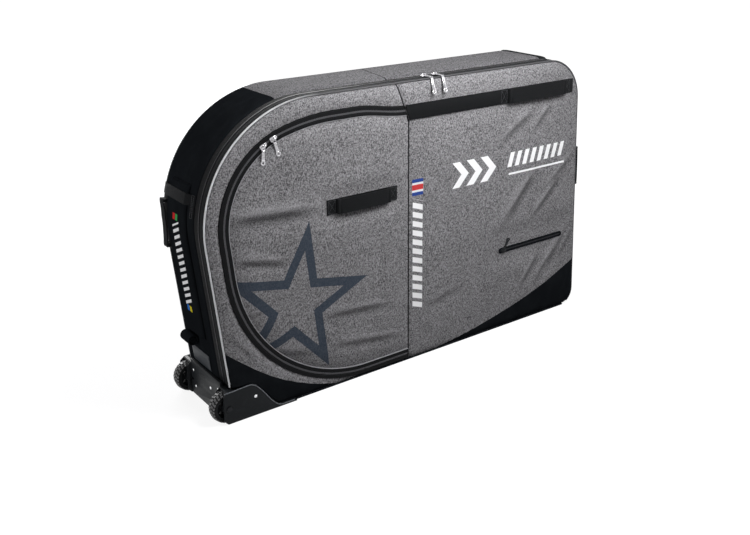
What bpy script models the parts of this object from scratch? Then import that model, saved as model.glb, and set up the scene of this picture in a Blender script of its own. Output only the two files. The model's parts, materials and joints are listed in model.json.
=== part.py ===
"""A soft travel bag for a bicycle, standing upright on its long side.

The frame is in metres with +Z up. +X runs along the length, with the wheels at the -X end. The face
with the star and the two zips looks towards -Y. The origin is on the floor, under the middle.
"""

import math

import bmesh
import bpy
from mathutils import Matrix, Vector

# Overall sizes
BAG_LENGTH = 1.280
BAG_HEIGHT = 0.800
BAG_DEPTH = 0.240

# Gaps between neighbours
SEAT = 0.0003
SEAM_GAP = 0.0004
OVERRUN = 0.010
TIGHTEST_RADIUS = 0.0015

# Outline of the bag, seen from the front
HEEL_SHARE = -0.4500
TOE_SHARE = 0.4965
SHOULDER_SHARE = 0.4780
NOSE_SHARE = -0.5190
HEEL_RADIUS = 0.030
TOE_RADIUS = 0.045
SHOULDER_RADIUS = 0.125
NOSE_RADIUS = 0.300
GUSSET_CROWN = 0.006

# Padded panels and their rolled edges
PANEL_THICKNESS = 0.010
ROLL_WIDTH = 0.012
ROLL_STEPS = 3
PIPING_RADIUS = 0.002
PIPING_SIDES = 8

# Gusset and the main zip
GUSSET_THICKNESS = 0.006
GUSSET_RAMP = 0.012
RIM_WIDTH = 0.025
BODY_TAPE_WIDTH = 0.025
TAPE_THICKNESS = 0.003
CHAIN_GAP = 0.0008
TOOTH_WIDTH = 0.003
TOOTH_HEIGHT = 0.0015
GREY_TOP_LEFT_SHARE = -0.3125
GREY_TOP_RIGHT_SHARE = 0.390625
GUSSET_STRAP_WIDTH = 0.028
GUSSET_STRAP_THICKNESS = 0.008

# Bottom, hinge line and base board
BOTTOM_THICKNESS = 0.004
BOARD_THICKNESS = 0.004
BOARD_FRONT_Y = -0.050
ROD_RADIUS = 0.004
ROD_SIDES = 6
ROD_EDGE_GAP = 0.008
ROD_START_Z = 0.030

# Front seam, pocket flap and its zip
SEAM_SHARE = -0.02734375
FLAP_TOP_GAP = 0.056
FLAP_BOTTOM_Z = 0.022
FLAP_NOSE_REACH = 0.027
FLAP_NOSE_DROP = 0.071
FLAP_BREAK_REACH = 0.263
FLAP_HEEL_GAP = 0.042
FLAP_TOP_RADIUS = 0.500
FLAP_NOSE_RADIUS = 0.235
FLAP_HEEL_RADIUS = 0.400
FLAP_CORNER_RADIUS = 0.0150
FLAP_TAPE_WIDTH = 0.014
FLAP_TAPE_DEPTH = 0.008
FLAP_HINGE_GAP = 0.0005
FLAP_ZIP_END_GAP = 0.008
POCKET_DEPTH = 0.052
LINER_THICKNESS = 0.003
LINER_FLANGE = 0.006

# Corner patches
LEFT_PATCH_HEIGHT = 0.190
LEFT_PATCH_LENGTH = 0.300
RIGHT_PATCH_HEIGHT = 0.155
RIGHT_PATCH_SEAM_GAP = 0.1005
PATCH_HOLLOW_SHARE = 0.15
PATCH_STEPS = 8

# Webbing band and the small pocket zip on the right panel
BAND_TOP_GAP = 0.058
BAND_HEIGHT = 0.042
BAND_START_GAP = 0.006
BAND_END_GAP = 0.016
POCKET_ZIP_END_GAP = 0.0735
POCKET_ZIP_LENGTH = 0.262
POCKET_ZIP_Z = 0.250
POCKET_ZIP_HEIGHT = 0.013
POCKET_ZIP_THICKNESS = 0.0015

# Webbing handles
WEBBING_THICKNESS = 0.0025
GRIP_THICKNESS = 0.003
FINGER_GAP = 0.007
ANCHOR_LENGTH = 0.008
CARRY_HANDLE_SEAM_GAP = 0.042
CARRY_HANDLE_LENGTH = 0.220
CARRY_HANDLE_Z = 0.485
CARRY_HANDLE_HEIGHT = 0.039
CARRY_GRIP_LENGTH = 0.150
BAND_GRIP_END_GAP = 0.1015
BAND_GRIP_LENGTH = 0.212
END_HANDLE_WIDTH = 0.022
END_HANDLE_BOTTOM_Z = 0.430
END_HANDLE_LENGTH = 0.105
END_HANDLE_EDGE_GAP = 0.002
END_FINGER_GAP = 0.010
RIGHT_HANDLE_BOTTOM_Z = 0.400
END_TAIL_LENGTH = 0.010
GRIP_END_GAP = 0.0006

# Straps and padding on the wheel end
CROSS_STRAP_BOTTOM_Z = 0.555
CROSS_STRAP_HEIGHT = 0.025
CROSS_STRAP_FRONT_Y = -0.044
CROSS_STRAP_REAR_Y = 0.100
STRAP_PATCH_BOTTOM_Z = 0.525
STRAP_PATCH_HEIGHT = 0.055
SLEEVE_BOTTOM_Z = 0.195
SLEEVE_TOP_Z = 0.600
SLEEVE_FRONT_Y = -0.028
SLEEVE_REAR_Y = 0.069
SLEEVE_THICKNESS = 0.009
FOLD_RADIUS = 0.014
FOLD_SIDES = 10
FOLD_FRONT_Y = 0.020
FOLD_REAR_Y = 0.069
SKID_BOTTOM_Z = 0.104
SKID_TOP_Z = 0.148
SKID_THICKNESS = 0.002

# Moulded corner housing, with its places along the bag measured from the bag's heel
HOUSING_END_REACH = 0.024
CHEEK_END_REACH = 0.036
HOUSING_TOE_GAP = 0.171
HOUSING_FLOOR_THICKNESS = 0.004
HOUSING_LIFT = 0.001
CHEEK_THICKNESS = 0.004
CHEEK_CORNER = 0.010
CHEEK_LEFT_HEIGHT = 0.0880
CHEEK_CREST_HEIGHT = 0.0905
CHEEK_CREST_GAP = 0.036
CHEEK_TOE_HEIGHT = 0.007
CHEEK_FALL_END_GAP = 0.129
CHEEK_STEPS = 10
END_WALL_HEIGHT = 0.0980
END_LIP_DEPTH = 0.022
NOTCH_GAP = 0.003

# Wheels
WHEEL_RADIUS = 0.042
WHEEL_WIDTH = 0.030
WHEEL_REACH = 0.022
WHEEL_CLEARANCE = 0.0015
WELL_WALL = 0.002
WHEEL_SIDE_GAP = 0.003
TYRE_DEPTH = 0.010
TREAD_DEPTH = 0.002
TREAD_COUNT = 20
LUG_STEPS = 4
TYRE_SHOULDER = 0.004
BEARING_RADIUS = 0.011
AXLE_RADIUS = 0.004
AXLE_HEAD_RADIUS = 0.007
AXLE_HEAD_THICKNESS = 0.002
HUB_WEB_THICKNESS = 0.008
HUB_RIM_DEPTH = 0.004
HUB_BOSS_DEPTH = 0.003
SPOKE_COUNT = 5
WINDOW_RADIUS = 0.0042
WHEEL_SEGMENTS = 40

# Zip sliders and their pulls
SLIDER_LENGTH = 0.016
SLIDER_WIDTH = 0.009
SLIDER_NOSE_WIDTH = 0.006
SLIDER_HEIGHT = 0.003
PIN_RADIUS = 0.0009
PIN_CLEARANCE = 0.0004
EAR_THICKNESS = 0.0016
PULL_WIDTH = 0.0070
PULL_EYE_WIDTH = 0.0036
PULL_THICKNESS = 0.0018
MAIN_PULL_LENGTH = 0.038
SIDE_PULL_LENGTH = 0.029
PULL_STEPS = 6
MAIN_SLIDER_SEAM_GAPS = (0.077, 0.115)
MAIN_LINK_REACH = 0.0340
FLAP_LINK_REACH = 0.0115
MAIN_PULL_LEAN = math.radians(18)
FLAP_SLIDER_ANGLES = (math.radians(31.6), math.radians(24))
FLAP_PULL_LEANS = (math.radians(-4), math.radians(17))
POCKET_PULL_LEAN = math.radians(150)

# Tie-down straps inside
TIE_SHARES = (-0.125, 0.1875)
TIE_WIDTH = 0.025
TIE_THICKNESS = 0.0025
TIE_HEIGHT = 0.150
TIE_FRONT_Y = -0.030
TIE_REAR_Y = 0.075
BUCKLE_LENGTH = 0.045
BUCKLE_WIDTH = 0.033
BUCKLE_THICKNESS = 0.010
BUCKLE_Z = 0.085

# Worked out from the sizes above
HEEL_X = HEEL_SHARE * BAG_LENGTH
TOE_X = TOE_SHARE * BAG_LENGTH
SEAM_X = SEAM_SHARE * BAG_LENGTH
GREY_TOP_LEFT_X = GREY_TOP_LEFT_SHARE * BAG_LENGTH
GREY_TOP_RIGHT_X = GREY_TOP_RIGHT_SHARE * BAG_LENGTH
FACE_Y = BAG_DEPTH / 2
PIPING_Y = FACE_Y - PANEL_THICKNESS
TOP_Z = BAG_HEIGHT - GUSSET_CROWN
GROOVE = PIPING_RADIUS + SEAT
RIM_FRONT_Y = -(PIPING_Y - GROOVE)
CHAIN_Y = RIM_FRONT_Y + RIM_WIDTH
TAPE_FRONT_Y = CHAIN_Y + CHAIN_GAP
GUSSET_FRONT_Y = TAPE_FRONT_Y + BODY_TAPE_WIDTH + SEAT
GUSSET_REAR_Y = PIPING_Y - GROOVE
COVER_BOTTOM_Z = BOTTOM_THICKNESS + SEAM_GAP
FLAP_TOP_Z = TOP_Z - FLAP_TOP_GAP
FLAP_NOSE_X = HEEL_X - FLAP_NOSE_REACH
FLAP_NOSE_Z = FLAP_TOP_Z - FLAP_NOSE_DROP
FLAP_BREAK_X = FLAP_NOSE_X + FLAP_BREAK_REACH
FLAP_HEEL_X = HEEL_X + FLAP_HEEL_GAP
BAND_BOTTOM_Z = TOP_Z - BAND_TOP_GAP - BAND_HEIGHT
BAND_GRIP_X = TOE_X - BAND_GRIP_END_GAP - BAND_GRIP_LENGTH
POCKET_ZIP_X = TOE_X - POCKET_ZIP_END_GAP - POCKET_ZIP_LENGTH
CARRY_HANDLE_X = SEAM_X - CARRY_HANDLE_SEAM_GAP - CARRY_HANDLE_LENGTH
CARRY_GRIP_X = CARRY_HANDLE_X + (CARRY_HANDLE_LENGTH - CARRY_GRIP_LENGTH) / 2
HOUSING_END_X = HEEL_X - HOUSING_END_REACH
CHEEK_END_X = HEEL_X - CHEEK_END_REACH
HOUSING_TOE_X = HEEL_X + HOUSING_TOE_GAP
CHEEK_CREST_X = HEEL_X + CHEEK_CREST_GAP
CHEEK_FALL_END_X = HEEL_X + CHEEK_FALL_END_GAP
WHEEL_X = HEEL_X - WHEEL_REACH
CHEEK_INNER_Y = FACE_Y + SEAM_GAP
CHEEK_OUTER_Y = CHEEK_INNER_Y + CHEEK_THICKNESS
WHEEL_OUTER_Y = CHEEK_INNER_Y - WHEEL_SIDE_GAP
WHEEL_INNER_Y = WHEEL_OUTER_Y - WHEEL_WIDTH
WELL_INNER_Y = WHEEL_INNER_Y - WHEEL_SIDE_GAP
WELL_BACK_Y = WELL_INNER_Y - WELL_WALL
WELL_RADIUS = WHEEL_RADIUS + WHEEL_CLEARANCE
WELL_TOP_Z = WHEEL_RADIUS + WELL_RADIUS + WELL_WALL
HOUSING_FLOOR_Z = HOUSING_LIFT + HOUSING_FLOOR_THICKNESS
GUSSET_LOW_Z = WELL_TOP_Z + NOTCH_GAP
RIM_LOW_Z = CHEEK_CREST_HEIGHT + NOTCH_GAP
BOARD_BOTTOM_Z = HOUSING_FLOOR_Z + SEAT
BOARD_TOP_Z = BOARD_BOTTOM_Z + BOARD_THICKNESS

FULL_TURN = 2 * math.pi
QUARTER_TURN = math.pi / 2
ARC_SHARE = 0.5
SEARCH_STEPS = 40


# Outlines

class Outline:
    """A convex outline in the XZ plane, anticlockwise from the front, with a fillet at each corner.

    A station says where a point lies on it. Its whole part counts the corners. Its fraction runs
    round that corner's fillet up to ARC_SHARE, and then along the straight to the next corner.
    """

    def __init__(self, corners):
        self.corners = [Vector((x, z)) for x, z, radius, steps in corners]
        self.radii = [radius for x, z, radius, steps in corners]
        self.steps = [steps for x, z, radius, steps in corners]
        self.fit_fillets()

    def fit_fillets(self):
        """Makes the two fillets of a side smaller by one factor where the side is too short for both."""
        count = len(self.corners)
        radii = list(self.radii)
        reaches = [self.reach(index) for index in range(count)]
        for index in range(count):
            after = (index + 1) % count
            side = (self.corners[after] - self.corners[index]).length
            factor = min(1.0, side / (reaches[index] + reaches[after]))
            for end in (index, after):
                self.radii[end] = min(self.radii[end], factor * radii[end])

    def reach(self, index):
        """How far one corner's fillet runs along each of its sides."""
        centre, radius, angle, turn = self.fillet(index, 0.0)
        return radius * math.tan(turn / 2)

    def fillet(self, index, inset):
        """Centre, radius, first angle and turn of one corner, moved inwards by the inset."""
        count = len(self.corners)
        corner = self.corners[index % count]
        before = (corner - self.corners[(index - 1) % count]).normalized()
        after = (self.corners[(index + 1) % count] - corner).normalized()
        inward_before = Vector((-before.y, before.x))
        inward_after = Vector((-after.y, after.x))
        bisector = (inward_before + inward_after) / (1 + inward_before.dot(inward_after))
        radius = max(self.radii[index % count] - inset, TIGHTEST_RADIUS)
        centre = corner + bisector * (inset + radius)
        turn = math.atan2(before.x * after.y - before.y * after.x, before.dot(after))
        return centre, radius, math.atan2(-inward_before.y, -inward_before.x), turn

    def on_fillet(self, index, share, inset):
        centre, radius, angle, turn = self.fillet(index, inset)
        return centre + radius * Vector((math.cos(angle + share * turn), math.sin(angle + share * turn)))

    def point(self, station, inset=0.0):
        """The (x, z) point at a station of the outline moved inwards by the inset."""
        index = math.floor(station)
        part = station - index
        if part < ARC_SHARE:
            return self.on_fillet(index, part / ARC_SHARE, inset)
        start = self.on_fillet(index, 1, inset)
        return start.lerp(self.on_fillet(index + 1, 0, inset), (part - ARC_SHARE) / (1 - ARC_SHARE))

    def stations(self, start, end):
        """The start, each fillet station that lies between, and the end."""
        found = [start]
        for index in range(math.floor(start), math.ceil(end) + 1):
            steps = self.steps[index % len(self.steps)]
            for step in range(steps + 1):
                station = index + ARC_SHARE * step / steps
                if found[-1] + TIGHTEST_RADIUS < station < end - TIGHTEST_RADIUS:
                    found.append(station)
        return found + [end]

    def ring(self, inset, y):
        """The whole outline at one depth, as 3-D points."""
        stations = self.stations(0, len(self.corners))[:-1]
        return [flat_point(self.point(station, inset), y) for station in stations]

    def find(self, axis, value, low, high):
        """The station between low and high where x (axis 0) or z (axis 1) has this value."""
        rises = self.point(high)[axis] > self.point(low)[axis]
        for _ in range(SEARCH_STEPS):
            middle = (low + high) / 2
            if (self.point(middle)[axis] < value) == rises:
                low = middle
            else:
                high = middle
        return low


def flat_point(point, y):
    return Vector((point[0], y, point[1]))


# Mesh helpers

def skin(rings, joined=False):
    """A closed mesh through rings of equal count, with flat ends unless the last ring joins the first."""
    mesh = bmesh.new()
    rows = [[mesh.verts.new(point) for point in ring] for ring in rings]
    pairs = list(zip(rows, rows[1:]))
    if joined:
        pairs.append((rows[-1], rows[0]))
    for first, second in pairs:
        for index in range(len(first)):
            after = (index + 1) % len(first)
            mesh.faces.new((first[index], first[after], second[after], second[index]))
    if not joined:
        mesh.faces.new(rows[0])
        mesh.faces.new(rows[-1])
    bmesh.ops.recalc_face_normals(mesh, faces=mesh.faces)
    return mesh


def add_object(name, mesh, finish=None, smooth=None):
    """Puts a bmesh into the scene under a name; a finish of None makes it a hidden helper."""
    data = bpy.data.meshes.new(name)
    mesh.to_mesh(data)
    mesh.free()
    made = bpy.data.objects.new(name, data)
    bpy.context.scene.collection.objects.link(made)
    if smooth is not None:
        data.shade_smooth()
        data.set_sharp_from_angle(angle=smooth)
    if finish is None:
        made.hide_render = True
        made.display_type = "WIRE"
    else:
        data.materials.append(material(name, finish))
    return made


def material(name, finish):
    """A Principled material of a node's own, from (colour, roughness, metallic)."""
    colour, roughness, metallic = finish
    made = bpy.data.materials.new(name)
    made.use_nodes = True
    shader = made.node_tree.nodes["Principled BSDF"]
    shader.inputs["Base Color"].default_value = (*colour, 1)
    shader.inputs["Roughness"].default_value = roughness
    shader.inputs["Metallic"].default_value = metallic
    made.diffuse_color = (*colour, 1)
    return made


def boolean(target, tool, operation):
    modifier = target.modifiers.new(operation.lower(), "BOOLEAN")
    modifier.operation = operation
    modifier.solver = "EXACT"
    modifier.object = tool


def cut(target, *tools):
    for tool in tools:
        boolean(target, tool, "DIFFERENCE")


def join(target, *tools):
    for tool in tools:
        boolean(target, tool, "UNION")


def keep(target, *tools):
    for tool in tools:
        boolean(target, tool, "INTERSECT")


def prism(points, front, rear):
    """A mesh that fills an XZ outline from one depth to another."""
    return skin([[flat_point(point, y) for point in points] for y in (front, rear)])


def slab(low, high):
    """A box mesh between two opposite corners."""
    corners = [(low[0], low[2]), (high[0], low[2]), (high[0], high[2]), (low[0], high[2])]
    return prism(corners, low[1], high[1])


def helper(name, mesh):
    return add_object(name, mesh)


def band_along(outline, section, start, end):
    """A mesh that sweeps a section of (inset, y) points along part of an outline."""
    rings = []
    for station in outline.stations(start, end):
        rings.append([flat_point(outline.point(station, inset), y) for inset, y in section])
    return skin(rings)


def turned(profile, centre, segments):
    """A ring or disc turned about an axis along Y, from a profile of (radius, y) points."""
    rings = []
    for step in range(segments):
        angle = FULL_TURN * step / segments
        ring = []
        for radius, y in profile:
            ring.append(Vector((centre.x + radius * math.cos(angle), y, centre.z + radius * math.sin(angle))))
        rings.append(ring)
    return skin(rings, joined=True)


def rod(start, end, radius, sides):
    """A plain round bar between two points."""
    along = (end - start).normalized()
    across = along.orthogonal().normalized()
    third = along.cross(across)
    rings = []
    for middle in (start, end):
        angles = [FULL_TURN * side / sides for side in range(sides)]
        rings.append([middle + radius * (math.cos(a) * across + math.sin(a) * third) for a in angles])
    return skin(rings)


def placed(mesh, matrix):
    bmesh.ops.transform(mesh, matrix=matrix, verts=mesh.verts)
    if matrix.determinant() < 0:
        bmesh.ops.recalc_face_normals(mesh, faces=mesh.faces)
    return mesh


def on_axis(made, place):
    """Moves an object's origin to a point on its joint's axis and leaves its shape where it is."""
    made.data.transform(Matrix.Translation(-place))
    made.location = place
    return made


def local_frame(origin, along, out):
    """A frame whose X runs along, whose Z looks out, and whose Y is across."""
    along = along.normalized()
    out = out.normalized()
    across = out.cross(along)
    frame = Matrix((along, across, out)).transposed().to_4x4()
    frame.translation = origin
    return frame


# Finishes: colour, roughness, metallic

GREY_FABRIC = ((0.190, 0.188, 0.200), 0.9, 0.0)
BLACK_FABRIC = ((0.012, 0.013, 0.015), 0.85, 0.0)
BLACK_WEBBING = ((0.010, 0.010, 0.011), 0.7, 0.0)
ZIP_TAPE = ((0.008, 0.008, 0.009), 0.6, 0.0)
PIPING = ((0.450, 0.450, 0.470), 0.4, 0.0)
LINING = ((0.030, 0.030, 0.034), 0.8, 0.0)
MOULDED = ((0.022, 0.023, 0.026), 0.5, 0.0)
RUBBER = ((0.010, 0.010, 0.010), 0.75, 0.0)
STEEL = ((0.500, 0.500, 0.510), 0.3, 1.0)
NICKEL = ((0.720, 0.715, 0.720), 0.22, 1.0)
SMOOTH_EDGE = math.radians(35)


# Outlines of the bag and of the flap

BAG = Outline([
    (HEEL_X, 0.0, HEEL_RADIUS, 4),
    (TOE_X, 0.0, TOE_RADIUS, 5),
    (SHOULDER_SHARE * BAG_LENGTH, TOP_Z, SHOULDER_RADIUS, 8),
    (NOSE_SHARE * BAG_LENGTH, TOP_Z, NOSE_RADIUS, 14),
])
BAG_TOE = 1
BAG_SHOULDER = 2
BAG_NOSE = 3
BAG_HEEL = 4

FLAP_SIDE_X = SEAM_X - FLAP_HINGE_GAP + FLAP_TAPE_WIDTH
FLAP = Outline([
    (FLAP_SIDE_X, FLAP_BOTTOM_Z, FLAP_CORNER_RADIUS, 2),
    (FLAP_SIDE_X, FLAP_TOP_Z, FLAP_CORNER_RADIUS, 2),
    (FLAP_BREAK_X, FLAP_TOP_Z, FLAP_TOP_RADIUS, 4),
    (FLAP_NOSE_X, FLAP_NOSE_Z, FLAP_NOSE_RADIUS, 12),
    (FLAP_HEEL_X, FLAP_BOTTOM_Z, FLAP_HEEL_RADIUS, 14),
])
FLAP_TOP_CORNER = 1
FLAP_NOSE = 3
FLAP_LAST = 5


def gusset_height(y):
    """How far the padded gusset stands out at a depth: a ramp, a flat middle and a ramp."""
    share = min(y - GUSSET_FRONT_Y, GUSSET_REAR_Y - y) / GUSSET_RAMP
    return GUSSET_CROWN * max(0.0, min(1.0, share))


def gusset_stops(front, rear):
    """The depths from front to rear, with the bends of the gusset that lie between them."""
    bends = [GUSSET_FRONT_Y + GUSSET_RAMP, GUSSET_REAR_Y - GUSSET_RAMP]
    return [front] + [y for y in bends if front < y < rear] + [rear]


def gusset_section(extra=0.0):
    """The padded strip itself: crowned outside, plain inside."""
    outer = [(-gusset_height(y) - extra, y) for y in gusset_stops(GUSSET_FRONT_Y, GUSSET_REAR_Y)]
    return outer + [(GUSSET_THICKNESS, GUSSET_REAR_Y), (GUSSET_THICKNESS, GUSSET_FRONT_Y)]


def layer_section(stops, thickness):
    """A layer on the gusset, through (depth, lift) stops."""
    under = [(-gusset_height(y) - SEAT - lift, y) for y, lift in stops]
    outer = [(inset - thickness, y) for inset, y in reversed(under)]
    return under + outer


def left_station(z):
    """Station on the wheel end at a height."""
    return BAG.find(1, z, BAG_NOSE, BAG_HEEL + ARC_SHARE)


def right_station(z):
    """Station on the plain end at a height."""
    return BAG.find(1, z, BAG_TOE, BAG_SHOULDER + ARC_SHARE)


def top_station(x):
    """Station on the top at a place along the length."""
    return BAG.find(0, x, BAG_SHOULDER, BAG_NOSE + ARC_SHARE)


# Cutters that several pieces share

def patch_points(corner_x, reach_x, height, lift):
    """A hollow-edged corner patch, from high on the bag's end to its far point on the bottom."""
    low = COVER_BOTTOM_Z
    points = []
    for step in range(PATCH_STEPS + 1):
        share = step / PATCH_STEPS
        drop = share + PATCH_HOLLOW_SHARE * math.sin(math.pi * share)
        points.append((corner_x + (reach_x - corner_x) * share, low + height * (1 - drop) + lift))
    return points + [(reach_x, low - OVERRUN), (corner_x, low - OVERRUN)]


def cheek_line(lift):
    """The wavy top edge of the housing's cheek from its end to its toe, moved out by the lift."""
    points = []
    for step in range(CHEEK_STEPS + 1):
        swing = (1 - math.cos(math.pi * step / CHEEK_STEPS)) / 2
        x = HOUSING_END_X + (CHEEK_CREST_X - HOUSING_END_X) * step / CHEEK_STEPS
        points.append((x, CHEEK_LEFT_HEIGHT + (CHEEK_CREST_HEIGHT - CHEEK_LEFT_HEIGHT) * swing + lift))
    for step in range(1, CHEEK_STEPS + 1):
        swing = (1 + math.cos(math.pi * step / CHEEK_STEPS)) / 2
        x = CHEEK_CREST_X + (CHEEK_FALL_END_X - CHEEK_CREST_X) * step / CHEEK_STEPS
        z = CHEEK_TOE_HEIGHT + (CHEEK_CREST_HEIGHT - CHEEK_TOE_HEIGHT) * swing
        points.append((x + lift * (1 - swing), z + lift))
    return points


def cheek_points(lift, low):
    """The cheek's whole side view, or the notch round it when the lift is positive."""
    toe = [(HOUSING_TOE_X + lift, HOUSING_FLOOR_Z + lift), (HOUSING_TOE_X + lift, low)]
    return cheek_line(lift) + toe


def arch_points(radius, left_x, low):
    """A wheel well seen from the side: a quarter arc over the wheel, open to the left and below."""
    points = [(left_x, low), (WHEEL_X + radius, low)]
    for step in range(CHEEK_STEPS + 1):
        angle = QUARTER_TURN * step / CHEEK_STEPS
        points.append((WHEEL_X + radius * math.cos(angle), WHEEL_RADIUS + radius * math.sin(angle)))
    return points + [(left_x, WHEEL_RADIUS + radius)]


def depth_range(side, inner, outer):
    """Two depths in rising order on one side of the bag."""
    return sorted((side * inner, side * outer))


def make_cutters():
    """Hidden helpers, by name."""
    far = BAG_LENGTH
    deep = BAG_DEPTH
    low = -OVERRUN
    outside_x = HEEL_X - SHOULDER_RADIUS
    floor_top_z = HOUSING_FLOOR_Z + SEAT
    left = (HEEL_X - LEFT_PATCH_HEIGHT * PATCH_HOLLOW_SHARE, HEEL_X + LEFT_PATCH_LENGTH, LEFT_PATCH_HEIGHT)
    right = (TOE_X + OVERRUN, SEAM_X + RIGHT_PATCH_SEAM_GAP, RIGHT_PATCH_HEIGHT)

    def through(name, points):
        return helper(name + "_tool", prism(points, -deep, deep))

    def block(name, low_x, high_x, top_z):
        return helper(name + "_tool", slab((low_x, -deep, -deep), (high_x, deep, top_z)))

    left_z = cheek_line(NOTCH_GAP)[0][1]
    notch = cheek_points(NOTCH_GAP, low) + [(outside_x, low), (outside_x, left_z)]
    hole = [flat_ring_point(point) for point in FLAP.ring(-FLAP_TAPE_WIDTH - SEAM_GAP, 0)]
    cutters = {
        "left_patch": through("left_patch", patch_points(*left, 0)),
        "left_patch_gap": through("left_patch_gap", patch_points(*left, SEAM_GAP)),
        "right_patch": through("right_patch", patch_points(*right, 0)),
        "right_patch_gap": through("right_patch_gap", patch_points(*right, SEAM_GAP)),
        "notch": through("notch", notch),
        "hole": through("flap_hole", hole),
        "below": block("below", -far, far, COVER_BOTTOM_Z),
        "right_half": block("right_half", SEAM_X - SEAM_GAP, far, far),
        "left_half": block("left_half", -far, SEAM_X + SEAM_GAP, far),
        "floor": block("floor", -far, HOUSING_TOE_X + SEAT, floor_top_z),
    }
    for side, name in ((-1, "front"), (1, "rear")):
        front, rear = depth_range(side, WELL_BACK_Y - SEAT, deep)
        arch = arch_points(WELL_RADIUS + WELL_WALL + SEAT, outside_x, low)
        cutters[name + "_block"] = helper(name + "_block_tool", prism(arch, front, rear))
    return cutters


def flat_ring_point(point):
    return (point.x, point.z)


# Panels, patches and piping

def panel_shell(side):
    """One whole padded face with rolled edges: side is -1 at the front and 1 at the rear."""
    rings = []
    for step in range(ROLL_STEPS + 1):
        angle = QUARTER_TURN * step / ROLL_STEPS
        inset = GROOVE + ROLL_WIDTH * (1 - math.cos(angle))
        depth = PIPING_Y + PANEL_THICKNESS * math.sin(angle)
        rings.append(BAG.ring(inset, side * depth))
    return skin(rings)


def make_faces(cutters):
    """The padded panels and black corner patches of both faces."""
    panel = add_object("left_panel", panel_shell(-1), GREY_FABRIC)
    cut(panel, cutters["right_half"], cutters["hole"], cutters["notch"], cutters["below"])
    cut(panel, cutters["left_patch_gap"])
    patch = add_object("left_corner_patch", panel_shell(-1), BLACK_FABRIC)
    keep(patch, cutters["left_patch"])
    cut(patch, cutters["notch"], cutters["below"], cutters["hole"])
    panel = add_object("right_panel", panel_shell(-1), GREY_FABRIC)
    cut(panel, cutters["left_half"], cutters["below"], cutters["right_patch_gap"])
    patch = add_object("right_corner_patch", panel_shell(-1), BLACK_FABRIC)
    keep(patch, cutters["right_patch"])
    cut(patch, cutters["below"])
    panel = add_object("rear_panel", panel_shell(1), GREY_FABRIC)
    cut(panel, cutters["left_patch_gap"], cutters["right_patch_gap"])
    patch = add_object("rear_left_patch", panel_shell(1), BLACK_FABRIC)
    keep(patch, cutters["left_patch"])
    cut(patch, cutters["floor"], cutters["rear_block"])
    patch = add_object("rear_right_patch", panel_shell(1), BLACK_FABRIC)
    keep(patch, cutters["right_patch"])


def make_piping():
    """The two cords of piping, each in its groove between a panel and the strip behind it."""
    start = right_station(COVER_BOTTOM_Z + PIPING_RADIUS)
    for name, y, low in (("front_piping", -PIPING_Y, RIM_LOW_Z), ("rear_piping", PIPING_Y, GUSSET_LOW_Z)):
        section = []
        for side in range(PIPING_SIDES):
            angle = FULL_TURN * side / PIPING_SIDES
            section.append((PIPING_RADIUS * math.cos(angle), y + PIPING_RADIUS * math.sin(angle)))
        add_object(name, band_along(BAG, section, start, left_station(low)), PIPING, SMOOTH_EDGE)


# Strips round the bag

def tape_section(edge_y, chain_y):
    """A zip tape with its row of teeth along one edge, as (inset, y)."""
    tooth_y = chain_y + math.copysign(TOOTH_WIDTH, edge_y - chain_y)
    return [
        (0.0, edge_y),
        (0.0, tooth_y),
        (-TOOTH_HEIGHT, tooth_y),
        (-TOOTH_HEIGHT, chain_y),
        (TAPE_THICKNESS, chain_y),
        (TAPE_THICKNESS, edge_y),
    ]


def make_strips():
    """The zip band's two halves, the padded gusset in its colours, and the bottom."""
    low = right_station(COVER_BOTTOM_Z + TOOTH_HEIGHT + SEAM_GAP)
    rim = band_along(BAG, tape_section(RIM_FRONT_Y, CHAIN_Y), low, left_station(RIM_LOW_Z))
    add_object("zip_rim", rim, ZIP_TAPE)
    tape_end = left_station(GUSSET_LOW_Z)
    tape = band_along(BAG, tape_section(GUSSET_FRONT_Y - SEAT, TAPE_FRONT_Y), low, tape_end)
    add_object("body_zip_tape", tape, ZIP_TAPE)

    gusset_low = right_station(COVER_BOTTOM_Z + GUSSET_CROWN / 2)
    strap_right = top_station(GREY_TOP_RIGHT_X + GUSSET_STRAP_WIDTH)
    strap_left = top_station(GREY_TOP_RIGHT_X)
    join_right = top_station(GREY_TOP_RIGHT_X + GUSSET_STRAP_WIDTH + SEAM_GAP)
    join_left = top_station(GREY_TOP_RIGHT_X - SEAM_GAP)
    nose_join = top_station(GREY_TOP_LEFT_X)
    nose_start = top_station(GREY_TOP_LEFT_X - SEAM_GAP)
    section = gusset_section()
    add_object("right_gusset", band_along(BAG, section, gusset_low, join_right), BLACK_FABRIC)
    strap_section = gusset_section(GUSSET_STRAP_THICKNESS - GUSSET_THICKNESS)
    add_object("gusset_strap", band_along(BAG, strap_section, strap_right, strap_left), BLACK_WEBBING)
    add_object("top_gusset", band_along(BAG, section, join_left, nose_join), GREY_FABRIC)
    add_object("nose_gusset", band_along(BAG, section, nose_start, tape_end), BLACK_FABRIC)

    toe_x = BAG.point(BAG_TOE).x
    front_y = -(FACE_Y - GROOVE)
    bottom = add_object("bottom_panel", slab(
        (HOUSING_TOE_X + SEAT, front_y, 0), (toe_x, GUSSET_REAR_Y, BOTTOM_THICKNESS)), BLACK_FABRIC)
    curve = [
        (0.0, GUSSET_FRONT_Y), (0.0, GUSSET_REAR_Y),
        (BOTTOM_THICKNESS, GUSSET_REAR_Y), (BOTTOM_THICKNESS, GUSSET_FRONT_Y),
    ]
    before_toe = BAG.find(0, toe_x - OVERRUN, ARC_SHARE, BAG_TOE)
    toe_end = right_station(COVER_BOTTOM_Z + GUSSET_CROWN / 2 - SEAM_GAP)
    join(bottom, helper("toe_curve", band_along(BAG, curve, before_toe, toe_end)))


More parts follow.
